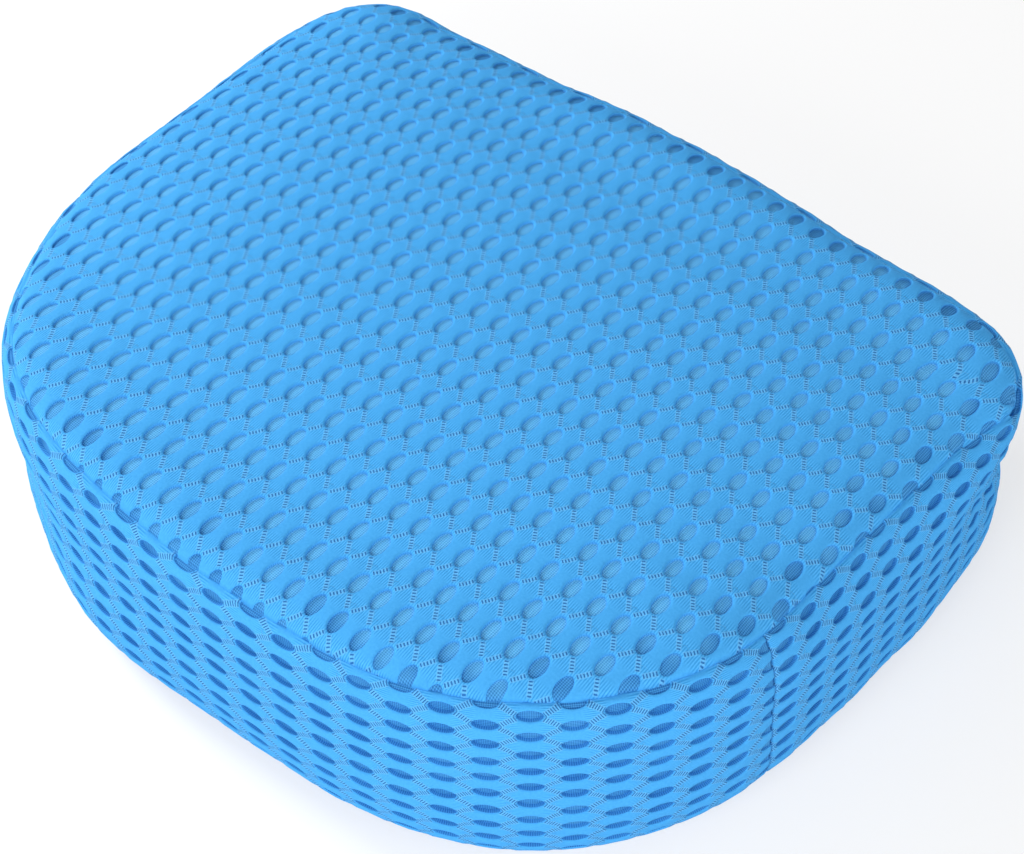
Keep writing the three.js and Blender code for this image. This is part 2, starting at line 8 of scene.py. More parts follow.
import bpy
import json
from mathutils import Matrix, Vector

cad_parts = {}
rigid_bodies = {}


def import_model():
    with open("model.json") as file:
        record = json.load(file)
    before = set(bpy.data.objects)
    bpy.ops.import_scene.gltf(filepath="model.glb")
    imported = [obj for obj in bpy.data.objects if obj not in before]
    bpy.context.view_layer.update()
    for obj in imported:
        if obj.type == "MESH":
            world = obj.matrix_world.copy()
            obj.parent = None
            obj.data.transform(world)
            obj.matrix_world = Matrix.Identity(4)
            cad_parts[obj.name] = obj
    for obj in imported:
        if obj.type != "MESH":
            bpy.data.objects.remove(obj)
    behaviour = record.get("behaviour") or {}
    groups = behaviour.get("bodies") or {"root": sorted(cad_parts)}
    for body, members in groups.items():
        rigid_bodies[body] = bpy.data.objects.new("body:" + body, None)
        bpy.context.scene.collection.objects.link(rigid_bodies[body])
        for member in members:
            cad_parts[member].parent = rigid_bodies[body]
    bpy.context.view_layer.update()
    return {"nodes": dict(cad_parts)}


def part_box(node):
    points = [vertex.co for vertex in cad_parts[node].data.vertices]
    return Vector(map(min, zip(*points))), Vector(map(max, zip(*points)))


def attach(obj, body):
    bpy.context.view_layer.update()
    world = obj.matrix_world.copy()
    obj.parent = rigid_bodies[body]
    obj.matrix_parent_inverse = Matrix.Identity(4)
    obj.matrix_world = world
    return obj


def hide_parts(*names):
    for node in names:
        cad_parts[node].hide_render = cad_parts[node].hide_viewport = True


for left_over in list(bpy.data.objects):
    bpy.data.objects.remove(left_over)
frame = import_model()

import json
import math
from functools import partial

import bmesh
import numpy as np
from mathutils import Matrix, Vector
from mathutils.bvhtree import BVHTree
from mathutils.geometry import convex_hull_2d

MM = 0.001

# %% [markdown]
# ## Seam line
# Everything on the cover is placed from the seam between its top and its sides, so that line comes first.
# The top panel of the frame ends on it: seen from above, the line is the hull of that panel's points. It is
# walked at even steps, clockwise from the middle of the back, and smoothed so that no facet of the solid
# shows in the cloth.

# %% Walk the top seam
STEP = 2.0  # mm between two stations of the seam


def lengths_along(points):
    """Length of a line up to each of its points."""
    return np.r_[0, np.cumsum(np.linalg.norm(np.diff(points, axis=0), axis=1))]


def points_at(places, along, points):
    """Points at places along a line."""
    return np.stack([np.interp(places, along, column) for column in points.T], axis=1)


def walk_evenly(points):
    """Closed line of points, in mm, at even steps."""
    loop = np.vstack([points, points[:1]])
    along = lengths_along(loop)
    count = int(round(along[-1] / STEP))
    return points_at(np.linspace(0, along[-1], count, endpoint=False), along, loop)


def soften(values, reach):
    """Mean over neighbouring stations of a closed line."""
    shifts = range(-reach, reach + 1)
    return sum(np.roll(values, shift, axis=0) for shift in shifts) / (2 * reach + 1)


panel = frame["nodes"]["top_panel"].data
hull = convex_hull_2d([v.co.xy for v in panel.vertices])
plan = np.array([panel.vertices[i].co.xy for i in hull]) / MM
plan = soften(walk_evenly(plan[::-1]), 3)
start = np.argmin(np.abs(plan[:, 0]) - 1000 * (plan[:, 1] > 0))
plan = walk_evenly(np.roll(plan, -start, axis=0))


def unit(vectors):
    """Vectors of length 1 in the same directions."""
    return vectors / np.linalg.norm(vectors, axis=-1)[..., None]


def point_outwards(line):
    """Unit vectors that point out of a closed line."""
    tangent = unit(np.roll(line, -1, axis=0) - np.roll(line, 1, axis=0))
    return np.stack([-tangent[:, 1], tangent[:, 0]], axis=1)


def hump(value, centre, width):
    """1 at the centre, falling softly to 0."""
    return np.exp(-(((value - centre) / width) ** 2))


print("seam line in", len(plan), "steps")

# %% [markdown]
# ## Height and corners of the seam
# Rays from above read the height of the seam from the solid. Then the back corners are made a little
# squarer, as the photograph shows them, and the line is walked again.

# %% Finish the seam line
RIGHT_CORNER, LEFT_CORNER = 6.0, 2.5  # mm, how much squarer the back corners of the seam are than the solid's
CORNER_PLACE, CORNER_WIDTH = 180, 18  # mm along the seam from the middle of the back, and wide
EDGE_INSET = 0.8  # mm inside the edge, where a ray surely meets the panel
outward = point_outwards(plan)
top_tree = BVHTree.FromPolygons([v.co for v in panel.vertices], [p.vertices for p in panel.polygons])
inside = (plan - EDGE_INSET * outward) * MM
straight_down = Vector((0, 0, -1))
seam_z = np.array([top_tree.ray_cast(Vector((x, y, 1)), straight_down)[0].z for x, y in inside]) / MM
places = np.arange(len(plan)) * STEP
square = RIGHT_CORNER * hump(places, CORNER_PLACE, CORNER_WIDTH)
square += LEFT_CORNER * hump(places, len(plan) * STEP - CORNER_PLACE, CORNER_WIDTH)
line = np.column_stack([plan + square[:, None] * outward, soften(seam_z, 4), square])
line = walk_evenly(line)
plan, seam_z, square = line[:, :2], line[:, 2], line[:, 3]
outward = point_outwards(plan)
STATIONS = len(plan)
SEAM_LENGTH = STATIONS * STEP
NOTHING = np.zeros(STATIONS)
print("top seam:", SEAM_LENGTH, "mm long,", seam_z.min().round(1), "to", seam_z.max().round(1), "mm high")

# %% [markdown]
# ## Meshes as arrays
# The points of a mesh are read and written as one array in millimetres, which is far quicker than point by
# point. A few small helpers do that, and turn modifiers and bmesh drawings into objects.

# %% Mesh helpers
def add_object(name, data):
    """A new object in the scene."""
    made = bpy.data.objects.new(name, data)
    bpy.context.scene.collection.objects.link(made)
    return made


def add_drawn(name, bm):
    """A new object with the mesh that was drawn in bmesh."""
    mesh = bpy.data.meshes.new(name)
    bm.to_mesh(mesh)
    bm.free()
    return add_object(name, mesh)


def baked(obj):
    """A mesh of obj with its modifiers applied."""
    graph = bpy.context.evaluated_depsgraph_get()
    return bpy.data.meshes.new_from_object(obj.evaluated_get(graph))


def apply_modifiers(obj):
    """Give obj the mesh that its modifiers make."""
    obj.data = baked(obj)
    obj.modifiers.clear()


def mesh_points(mesh):
    """Points of a mesh in mm."""
    flat = np.empty(3 * len(mesh.vertices))
    mesh.vertices.foreach_get("co", flat)
    return flat.reshape(-1, 3) / MM


def place_points(mesh, points):
    """Move the points of a mesh to places in mm."""
    mesh.vertices.foreach_set("co", (np.asarray(points) * MM).ravel())
    mesh.update()


def point_normals(mesh):
    """Normals at the points of a mesh."""
    return np.array([v.normal for v in mesh.vertices])


print("points of the solid foam:", len(mesh_points(frame["nodes"]["foam_core"].data)))

# %% [markdown]
# ## Block of foam
# Everything else lies on the foam, so its form comes first. It could be modelled by hand, but the solid of
# the part has the right size already: the hull of it leaves out the pocket for the zip, a Remesh modifier
# turns it into even squares, which a simulation needs, and each point moves out by the thickness of the
# cover.

# %% Remesh the foam
COVER = 4.4  # mm from the foam to the outer face of the cover
VOXEL = 5.0  # mm
bm = bmesh.new()
bm.from_mesh(frame["nodes"]["foam_core"].data)
bmesh.ops.remove_doubles(bm, verts=bm.verts, dist=0.01 * MM)
hull = bmesh.ops.convex_hull(bm, input=bm.verts)
bmesh.ops.delete(bm, geom=list({*hull["geom_interior"], *hull["geom_unused"]}), context="VERTS")
block = add_drawn("foam_block", bm)
remesh = block.modifiers.new("even squares", "REMESH")
remesh.mode = "VOXEL"
remesh.voxel_size = VOXEL * MM
settle = block.modifiers.new("settle", "SMOOTH")
settle.factor = 0.5
settle.iterations = 4
apply_modifiers(block)
skin = mesh_points(block.data) + COVER * point_normals(block.data)
print("block:", len(skin), "points")

# %% [markdown]
# ## Tight cover
# Foam in a tight cover bulges between its seams. A cloth simulation with inner pressure does that by
# itself, while a vertex group pins the cloth where the seams hold it. Foam gives little, so what the
# simulation adds is limited.

# %% Swell the cover
BOTTOM_REACH = 7.0  # mm from the top seam out to the bottom seam
BOTTOM_SEAM_Z = 7.0  # mm
HELD_WIDTH = 6.0  # mm beside a seam, where it holds the cloth
SWELL_FRAMES = 16
SWELL_MOST = 1.5  # mm, the foam lets the cover swell no further
bottom_reach = BOTTOM_REACH - square


def nearest_on(line, points):
    """For each point, the index of the nearest point of a line, worked out in parts to save memory."""
    parts = np.array_split(points, 1 + len(points) // 4000)
    return np.concatenate([((part[:, None] - line[None]) ** 2).sum(axis=2).argmin(axis=1) for part in parts])


def nearest_station(xy):
    """For each point of the plan, the index of its station on the seam and its distance outside it."""
    index = nearest_on(plan, xy)
    return index, ((xy - plan[index]) * outward[index]).sum(axis=1)


place_points(block.data, skin)
station, reach = nearest_station(skin[:, :2])
to_top = np.hypot(reach, skin[:, 2] - seam_z[station])
to_bottom = np.hypot(reach - bottom_reach[station], skin[:, 2] - BOTTOM_SEAM_Z)
held = hump(np.minimum(to_top, to_bottom), 0, HELD_WIDTH)
seams = block.vertex_groups.new(name="seams")
for i, weight in enumerate(held):
    seams.add([i], float(weight), "REPLACE")
swell = block.modifiers.new("swell", "CLOTH")
swell.settings.vertex_group_mass = seams.name
swell.settings.use_pressure = True
swell.settings.uniform_pressure_force = 2
swell.settings.effector_weights.gravity = 0
for step in range(1, SWELL_FRAMES + 1):
    bpy.context.scene.frame_set(step)
moved = mesh_points(baked(block)) - skin
block.modifiers.clear()
block.vertex_groups.clear()
bpy.context.scene.frame_set(1)
far = np.linalg.norm(moved, axis=1)
skin = skin + moved * np.minimum(1, SWELL_MOST / np.maximum(far, 1e-9))[:, None]
print("swollen by", far.mean().round(2), "mm on average, before the limit of", SWELL_MOST, "mm")

# %% [markdown]
# ## Edges of the top
# On the photograph the front seam stands higher and further out than on the plain solid, so that the front
# is upright, and the back edge waves a little. Both are corrections of a few millimetres that fade out on
# the top. They could be sculpted, but as values along the seam they stay easy to change.

# %% Move the edges of the top
FRONT_UP, FRONT_OUT = 6.2, 3.7  # mm, how far the front seam stands up and out
# how far the top is lifted and pushed out at its back seam, in mm, at places along x: (x, lift, push)
BACK_EDGE = np.array([(-170, 2.5, 1.5), (-150, 2, 1), (-125, -1, -1), (-100, 0, -1), (-60, 1, 0),
                      (-30, 3.5, 2.5), (20, 4.5, 3.5), (60, 3.5, 3), (90, 2.5, 1.5), (140, 4, 3),
                      (165, 5.5, 5.5)])
BACK_START, BACK_FULL = 88, 130  # mm along y, between which the back edge starts to move
LIP_REACH = 32.0  # mm of the top, inside the seam, that moves with it


def rise(value, low, high):
    """0 below low, 1 above high, and smooth between."""
    share = np.clip((value - low) / (high - low), 0, 1)
    return share * share * (3 - 2 * share)


def back_edge(x, column):
    """Lift (1) or push (2) of the back edge at places along x."""
    return np.interp(x, BACK_EDGE[:, 0], BACK_EDGE[:, column])


every_station = np.arange(STATIONS) * STEP
front = rise(every_station, 300, 360) * (1 - rise(every_station, 650, 730))
back = rise(plan[:, 1], BACK_START, BACK_FULL)
seam_out = FRONT_OUT * front + back_edge(plan[:, 0], 2) * back
station, reach = nearest_station(skin[:, :2])
below = seam_z[station] - skin[:, 2]
with_seam = hump(np.minimum(reach, 0), 0, LIP_REACH) * (1 - rise(below, 4, 45))
at_back = rise(skin[:, 1], BACK_START, BACK_FULL) * rise(skin[:, 2], 72, 90)
lift = FRONT_UP * front[station] * with_seam + back_edge(skin[:, 0], 1) * at_back
out_by = FRONT_OUT * front[station] * with_seam + back_edge(skin[:, 0], 2) * at_back
print("top lifted by up to", lift.max().round(1), "mm")

# %% [markdown]
# ## Shape of the sides
# The cover is tight under the seam and at the back corners, where the cloth is gathered, and full at its
# foot. Each such place is a soft hump: so far along the seam, so far below it, and so many millimetres in
# or out. The underside stays flat, because the pillow stands on it.

# %% Draw the sides in
LOWEST = 0.9  # mm, so that the swell of the knit just touches the ground
SHOULDER, FRONT_SHOULDER = 3.2, 1.5  # mm in, under the seam
WAIST, CORNER_WAIST, LEFT_WAIST = 0.5, 3.5, 4.0  # mm in, halfway down
LIP = 4.2  # mm out, at the back corner on the right
SIDE_FOOT, FRONT_FOOT = 1.5, 1.6  # mm out, near the ground
FOOT_BULGES = [(245, 3.5, 26), (284, 1.8, 16), (592, 5.0, 36)]  # mm along the seam, out, and wide
place = station * STEP
from_back = np.minimum(place, SEAM_LENGTH - place)
shoulder = SHOULDER * rise(from_back, 215, 265) * hump(below, 13, 8)
shoulder = shoulder + FRONT_SHOULDER * front[station] * hump(below, 21, 10)
waist = (WAIST + CORNER_WAIST * hump(from_back, 178, 38)) * hump(below, 32, 12)
waist = waist + LEFT_WAIST * hump(place, 652, 30) * hump(below, 56, 20)
lip = LIP * hump(place, 180, 24) * hump(below, 4, 13)
foot = SIDE_FOOT * rise(from_back, 230, 300) * (1 - rise(from_back, 400, 470))
foot = foot + sum(bulge * hump(place, spot, width) for spot, bulge, width in FOOT_BULGES)
foot = foot * rise(below, 45, 80) + FRONT_FOOT * front[station] * hump(below, 56, 14)
out_by = out_by + lip + foot - shoulder - waist
skin[:, :2] += outward[station] * out_by[:, None]
skin[:, 2] += lift
skin[:, 2] = np.where(skin[:, 2] < 12, np.maximum(skin[:, 2], LOWEST), skin[:, 2])
print("sides drawn in by up to", -out_by.min().round(1), "mm and out by", out_by.max().round(1), "mm")

# %% [markdown]
# ## Smooth form
# One step of Subdivision Surface rounds the squares of the form. A tree of its faces then answers rays
# quickly, which the measuring needs.

# %% Finish the form
place_points(block.data, skin)
finer = block.modifiers.new("finer squares", "SUBSURF")
finer.levels = finer.render_levels = 1
form = baked(block)
block.modifiers.clear()
form_tree = BVHTree.FromPolygons([v.co for v in form.vertices], [p.vertices for p in form.polygons])
low, high = mesh_points(form).min(axis=0), mesh_points(form).max(axis=0)
print("cover from", low.round(1), "to", high.round(1))

# %% [markdown]
# ## Measuring the form like a tape measure
# The cloth is knitted and cut flat, so each panel is made flat too and then laid on the form. For that the
# form is measured once: the top and the underside by their height over an even grid, and the sides in
# sections, one at each station of the seam. Along a section the tape runs down over the surface, so that
# eyelets keep their size there.

# %% Measure the top and the underside
GRID = 2.5  # mm
REACH_X, REACH_Y = 195, 150  # mm from the middle


def measure_height(up):
    """Height of the form over an even grid, seen from above (up = 1) or from below (up = -1)."""
    across = np.arange(-REACH_X, REACH_X + GRID, GRID)
    deep = np.arange(-REACH_Y, REACH_Y + GRID, GRID)
    aside = 0.037  # mm, so that no ray meets the edge between two squares
    height = np.full((len(across), len(deep)), np.nan)
    for i, x in enumerate(across):
        for j, y in enumerate(deep):
            start = Vector(((x + aside) * MM, (y + aside) * MM, up))
            hit = form_tree.ray_cast(start, Vector((0, 0, -up)))[0]
            if hit:
                height[i, j] = hit.z / MM
    height[np.isnan(height)] = np.nanmean(height) if up < 0 else np.nanmin(height)
    for shift in (1, -1):
        height = (height + np.roll(height, shift, 0) + np.roll(height, shift, 1)) / 3
    return height


def sample(grid, rows, columns):
    """Values of a grid between its points."""
    i = np.clip(np.floor(rows).astype(int), 0, grid.shape[0] - 2)
    j = np.clip(np.floor(columns).astype(int), 0, grid.shape[1] - 2)
    a, b = (rows - i)[:, None], (columns - j)[:, None]
    grid = grid.reshape(grid.shape[0], grid.shape[1], -1)
    return ((grid[i, j] * (1 - a) + grid[i + 1, j] * a) * (1 - b)
            + (grid[i, j + 1] * (1 - a) + grid[i + 1, j + 1] * a) * b)


class Face:
    """The top or the underside: places and normals from a plan position."""

    def __init__(self, up):
        self.height = measure_height(up)
        slope_x, slope_y = np.gradient(self.height, GRID)
        normal = np.stack([-slope_x, -slope_y, np.ones_like(slope_x)], axis=2) * up
        self.normal = unit(normal)

    def at(self, xy):
        """Places and normals at positions of the plan."""
        rows, columns = (xy[:, 0] + REACH_X) / GRID, (xy[:, 1] + REACH_Y) / GRID
        z = sample(self.height, rows, columns)
        return np.hstack([xy, z]), sample(self.normal, rows, columns)


top_face, under_face = Face(1), Face(-1)
top_edge, top_normal = top_face.at(plan + seam_out[:, None] * outward)
under_edge, under_normal = under_face.at(plan + bottom_reach[:, None] * outward)
print("top", top_face.height.max().round(1), "mm high, its edge from", top_edge[:, 2].min().round(1), "mm")
print("bottom edge", under_edge[:, 2].min().round(1), "to", under_edge[:, 2].max().round(1), "mm high")

# %% [markdown]
# ## Sides
# The sides can't be read from above, so each station of the seam gets a section: rays from a root inside
# the block meet the form from the top seam to the bottom seam. The points are spread evenly down the
# surface, as a tape would.

# %% Measure the sides in sections
ROOT, ROOT_Z = 35.0, 48.0  # mm inside the seam and above the ground, where the rays of a section start
RAYS = 90
ROWS = 93  # points down a section


def measure_sections():
    """Points of the sides: one section per station, at even distances down the surface."""
    sections = np.empty((STATIONS, ROWS, 3))
    heights = np.empty(STATIONS)
    for i in range(STATIONS):
        root = np.array([*(plan[i] - ROOT * outward[i]), ROOT_Z])
        first = math.atan2(top_edge[i, 2] - ROOT_Z, ROOT + seam_out[i])
        last = math.atan2(under_edge[i, 2] - ROOT_Z, ROOT + bottom_reach[i])
        points = [top_edge[i]]
        for angle in np.linspace(first, last, RAYS)[1:-1]:
            aim = Vector((*(outward[i] * math.cos(angle)), math.sin(angle)))
            points.append(np.array(form_tree.ray_cast(Vector(root * MM), aim)[0]) / MM)
        points = np.array([*points, under_edge[i]])
        along = lengths_along(points)
        heights[i] = along[-1]
        sections[i] = points_at(np.linspace(0, along[-1], ROWS), along, points)
    return sections, heights


sections, heights = measure_sections()
sections[:, 1:-1] = soften(sections, 2)[:, 1:-1]
BAND_HEIGHT = heights.mean()
ring = np.concatenate([sections, sections[:2]])
down = np.gradient(ring, axis=1)
along = np.roll(sections, -1, axis=0) - np.roll(sections, 1, axis=0)
along = np.concatenate([along, along[:2]])
side_normal = unit(np.cross(down, along))
if side_normal[0, ROWS // 2, 1] < 0:
    side_normal = -side_normal


def side_at(along_seam, depth):
    """Places and normals on the sides, from mm along the top seam and mm down the cloth."""
    rows = (along_seam / STEP) % STATIONS
    columns = np.clip(depth / BAND_HEIGHT, 0, 1) * (ROWS - 1)
    return sample(ring, rows, columns), sample(side_normal, rows, columns)


print("sides", heights.min().round(1), "to", heights.max().round(1), "mm down the cloth")

# %% [markdown]
# ## Air mesh, one eyelet at a time
# Air mesh repeats one eyelet in a staggered pattern, so each eyelet owns a six-sided cell. The cell is
# drawn once: a hexagon with its edges divided, then inset from ring to ring: the soft swell of the knit,
# the rounded lip of the eyelet, its wall of spacer yarns and, at the bottom, the inner knit. Two Array
# modifiers repeat it over the cloth.

# %% Draw one eyelet
PITCH_ACROSS = 10.0  # mm between eyelets that lie side by side
PITCH_ALONG = 14.484  # mm between rows, along the eyelets
CORNER_Y = (PITCH_ALONG ** 2 - (PITCH_ACROSS / 2) ** 2) / (2 * PITCH_ALONG)
TIP_Y = (PITCH_ALONG ** 2 + (PITCH_ACROSS / 2) ** 2) / (2 * PITCH_ALONG)
KNIT, YARNS, LINING = 0, 1, 2  # material slots
# half width, half length and height of each ring, in mm, and the slot of the strip that leads to it
EYELET_RINGS = [
    (3.55, 5.75, 0.30, KNIT),
    (2.74, 4.82, 0.08, KNIT),
    (2.56, 4.60, -0.28, KNIT),
]
POCKET_HALF_WIDTH, POCKET_HALF_LENGTH = 2.42, 4.42
TOP_POCKET, BAND_POCKET = 1.0, 1.6  # mm, depth of an eyelet: on the bands the inner knit hangs free
SWELL_HEIGHT = 0.42  # mm, of the knit between two eyelets
CELL_CORNERS = [0, 3, 5, 8, 11, 13, 16]  # which of the 16 points of a cell's edge are its corners


def draw_eyelet(pocket):
    """One cell: its edge, then ring by ring down to the inner knit."""
    bm = bmesh.new()
    bmesh.ops.create_circle(bm, cap_ends=True, segments=16, radius=1)
    half = PITCH_ACROSS / 2
    corner_x = [0, half, half, 0, -half, -half, 0]
    corner_y = [TIP_Y, CORNER_Y, -CORNER_Y, -TIP_Y, -CORNER_Y, CORNER_Y, TIP_Y]
    ring = []
    for v in bm.verts:
        angle = math.atan2(v.co.x, v.co.y) % (2 * math.pi)
        place = angle * 8 / math.pi
        v.co.x = np.interp(place, CELL_CORNERS, corner_x)
        v.co.y = np.interp(place, CELL_CORNERS, corner_y)
        v.co.z = SWELL_HEIGHT * (1 - abs(v.co.y) / TIP_Y)
        ring.append((v.co.copy(), angle))
    face = bm.faces[:][0]
    face.normal_update()
    if face.normal.z < 0:
        face.normal_flip()
    floor = (POCKET_HALF_WIDTH, POCKET_HALF_LENGTH, -pocket, YARNS)
    for half_width, half_length, height, slot in [*EYELET_RINGS, floor]:
        strip = bmesh.ops.inset_individual(bm, faces=[face], thickness=0.2)["faces"]
        placed = []
        for quad in strip:
            quad.material_index = slot
        for v in face.verts:
            angle = min(ring, key=lambda corner: (corner[0] - v.co).length)[1]
            v.co = (half_width * math.sin(angle), half_length * math.cos(angle), height)
            placed.append((v.co.copy(), angle))
        ring = placed
    for edge in face.edges:
        edge.smooth = False
    for tri in bmesh.ops.poke(bm, faces=[face])["faces"]:
        tri.material_index = LINING
    return bm


sample_cell = draw_eyelet(TOP_POCKET)
print("one eyelet cell:", len(sample_cell.faces), "faces")
sample_cell.free()

# %% [markdown]
# ## A length of cloth
# The knit repeats two eyelets, one half a step aside of the other. Array modifiers repeat the pair across
# and along, which stays exact and quick. Cells that touch are then merged, so that the cloth is one piece.

# %% Repeat the eyelet
def repeat(obj, offset, count):
    """Repeat a mesh at a constant offset."""
    array = obj.modifiers.new("repeat", "ARRAY")
    array.use_relative_offset = False
    array.use_constant_offset = True
    array.constant_offset_displace = offset
    array.count = count


def knit_cloth(name, across, along, pocket):
    """Flat cloth in mm with an eyelet at the origin, from two cells repeated by Array modifiers."""
    bm = draw_eyelet(pocket)
    second = bmesh.ops.duplicate(bm, geom=bm.verts[:] + bm.edges[:] + bm.faces[:])["geom"]
    second = [g for g in second if isinstance(g, bmesh.types.BMVert)]
    bmesh.ops.translate(bm, verts=second, vec=(PITCH_ACROSS / 2, PITCH_ALONG, 0))
    columns = [math.floor(across[0] / PITCH_ACROSS) - 1, math.ceil(across[1] / PITCH_ACROSS) + 1]
    rows = [math.floor(along[0] / 2 / PITCH_ALONG) - 1, math.ceil(along[1] / 2 / PITCH_ALONG) + 1]
    bmesh.ops.translate(bm, verts=bm.verts, vec=(columns[0] * PITCH_ACROSS, rows[0] * 2 * PITCH_ALONG, 0))
    cloth = add_drawn(name, bm)
    repeat(cloth, (PITCH_ACROSS, 0, 0), columns[1] - columns[0] + 1)
    repeat(cloth, (0, 2 * PITCH_ALONG, 0), rows[1] - rows[0] + 1)
    bm = bmesh.new()
    bm.from_mesh(baked(cloth))
    cloth.modifiers.clear()
    bmesh.ops.remove_doubles(bm, verts=bm.verts, dist=0.01)
    return cloth, bm


print("pitch of the eyelets:", PITCH_ACROSS, "x", PITCH_ALONG, "mm")

# %% [markdown]
# ## Cutting the panels
# The panels are cut like cloth: a cut along the seam line, which the stitches follow, and a second one
# further out, where the scissors went. What lies between the two is the seam allowance, which is turned in.
# Each cut is a bisect_plane; a round cut is many short straight ones, each only through the cloth near it.

# %% Cut cloth
ALLOWANCE = 3.0  # mm of cloth beyond the seam
SEAM_EDGE = 1.2  # mm beside the seam, where the cloth starts to turn in
NEAR_CUT = 14  # mm, how far from a piece of the cut a face can be and still be cut


def cut(bm, place, direction, keep_all):
    """One straight cut through flat cloth; what lies in the direction is cut off unless all is kept."""
    bmesh.ops.bisect_plane(bm, geom=bm.verts[:] + bm.edges[:] + bm.faces[:], plane_co=(*place, 0),
                           plane_no=(*direction, 0), dist=0.001, clear_outer=not keep_all)


def cut_round(bm, line, keep_all):
    """Cut along a closed line that bulges outwards everywhere, one straight piece after another."""
    ahead = np.roll(line, -1, axis=0)
    middles = (line + ahead) / 2
    faces = bm.faces[:]
    centres = np.array([f.calc_center_median().xy for f in faces])
    nearest = nearest_on(middles, centres)
    gap = np.linalg.norm(centres - middles[nearest], axis=1)
    rim = [set() for _ in middles]
    for f, piece, far_off in zip(faces, nearest, gap):
        if far_off < NEAR_CUT:
            rim[piece].add(f)
    beside = 1 if keep_all else 3
    for i, (middle, aim) in enumerate(zip(middles, ahead - line)):
        close = [f for k in range(-beside, beside + 1) for f in rim[(i + k) % len(rim)] if f.is_valid]
        near = list({v for f in close for v in f.verts}) + list({e for f in close for e in f.edges}) + close
        made = bmesh.ops.bisect_plane(bm, geom=near, plane_co=(*middle, 0), plane_no=(-aim[1], aim[0], 0),
                                      dist=0.001, clear_outer=not keep_all)["geom"]
        known = set(close)
        rim[i] |= {g for g in made if isinstance(g, bmesh.types.BMFace) and g not in known}


def cut_off_far(bm, line):
    """Take away the cells that lie well outside a closed line."""
    centres = np.array([f.calc_center_median().xy for f in bm.faces])
    nearest = nearest_on(line, centres)
    outside = ((centres - line[nearest]) * outward[nearest]).sum(axis=1)
    far = [f for f, far_out in zip(bm.faces, outside) if far_out > NEAR_CUT - 2]
    bmesh.ops.delete(bm, geom=far, context="FACES")


print("allowance:", ALLOWANCE, "mm")

# %% [markdown]
# ## Laying the panels
# The place of a point in the flat cloth is kept as its UV, so that the shaders follow the threads. Then
# each point moves to its place on the form, and the depth of the eyelets goes along the normal there.

# %% Lay cloth
WALL_HALF_WIDTH, WALL_HALF_LENGTH = 2.3, 4.3  # mm, half sizes of an eyelet, for the angle round its wall
WALL_RADIUS = 3.5  # mm, which turns that angle into a length round the wall


def lay(cloth, bm, place):
    """Give flat cloth its UVs and lay it on the form; place turns flat positions into places and normals."""
    uv = bm.loops.layers.uv.new("cloth")
    for f in bm.faces:
        f.smooth = True
        for loop in f.loops:
            x, y, z = loop.vert.co
            if f.material_index == YARNS:
                row = round(y / PITCH_ALONG)
                shift = (row % 2) * PITCH_ACROSS / 2
                off_x = x - shift - round((x - shift) / PITCH_ACROSS) * PITCH_ACROSS
                off_y = y - row * PITCH_ALONG
                turn = math.atan2(off_x / WALL_HALF_WIDTH, off_y / WALL_HALF_LENGTH)
                loop[uv].uv = (turn * WALL_RADIUS * MM, z * MM)
            else:
                loop[uv].uv = (x * MM, y * MM)
    bm.to_mesh(cloth.data)
    bm.free()
    flat = mesh_points(cloth.data) * MM
    places, normals, sink, squash, free = place(flat[:, :2])
    place_points(cloth.data, places + normals * (flat[:, 2] * squash + sink)[:, None])
    # painted shade: the attribute free says how much the eyelets are painted darker, where the inner knit
    # hangs over a hollow
    shade = cloth.data.attributes.new("free", "FLOAT", "POINT")
    shade.data.foreach_set("value", free.astype(np.float32))


print("depth of an eyelet:", TOP_POCKET, "mm on the top,", BAND_POCKET, "mm on the bands")

# %% [markdown]
# ## Seams
# At a seam two cloths dive into a groove side by side. If each sank along its own normal, the seam would
# open or stand up like piping. So each station gets one direction out of the seam and one across it, shared
# by both cloths.

# %% Seam directions
SEAM_DIP = 1.2  # mm, how deep the thread pulls the cloth in at the seam
SEAM_PULL = 0.9  # mm, the wider dent beside the seam
SEAM_HALF_GAP = 0.4  # mm from the seam to each of the two cloths
CORNER_HALF_GAP = 0.2  # mm, the same at the corner seams, which are sewn tighter


def seam_axes(edge, face_normal, band_normal):
    """Two directions at each station of a seam: out of the seam, and across it from the face to the band."""
    out = unit(soften(unit(face_normal) + unit(band_normal), 2))
    run = np.roll(edge, -1, axis=0) - np.roll(edge, 1, axis=0)
    across = unit(np.cross(run, out))
    towards_band = np.sign((across * band_normal).sum(axis=1))
    return out, across * towards_band[:, None]


def seam_sink(gap):
    """How deep a seam pulls the cloth in, at a distance from it."""
    return -SEAM_DIP * hump(gap, 0, 0.8) - SEAM_PULL * hump(gap, 0, 7)


def seam_squash(gap):
    """Share of an eyelet's depth that is left near a seam, which presses the cloth flat."""
    return 1 - 0.65 * hump(gap, 0, 3.5)


def seam_part(gap):
    """How far each cloth stands off the seam, at a distance from it."""
    return (SEAM_HALF_GAP * hump(gap, 0, 1.2))[:, None]


def lean(normals, seam_normals, gap):
    """Normals that turn into those of a seam close to it."""
    share = hump(gap, 0, 3)[:, None]
    return unit(normals * (1 - share) + seam_normals * share)


top_out, top_across = seam_axes(top_edge, top_normal, side_normal[:STATIONS, 0])
under_out, under_across = seam_axes(under_edge, under_normal, side_normal[:STATIONS, -1])
print("seam directions at", STATIONS, "stations")

# %% [markdown]
# ## Top panel
# The top is one cut of air mesh, with its eyelets running from front to back. It is laid straight down on
# the top of the form. Beside the seam the inner knit hangs free of the foam: an attribute says where, and
# the shaders paint the eyelets there darker, as painted shade of the hollow behind.

# %% Top panel
TOP_LATTICE = (7.4, 10.7)  # where an eyelet lies on the top, in mm
FREE_SHADE_MARGIN = (1.0, 18.0)  # mm beside the seam, where the inner knit is off the foam and is painted darker, as painted shade
FREE_SHADE_MOST = 0.8  # share of that painted shade right beside the seam
WAVE = 5.0  # mm, how unevenly that margin runs


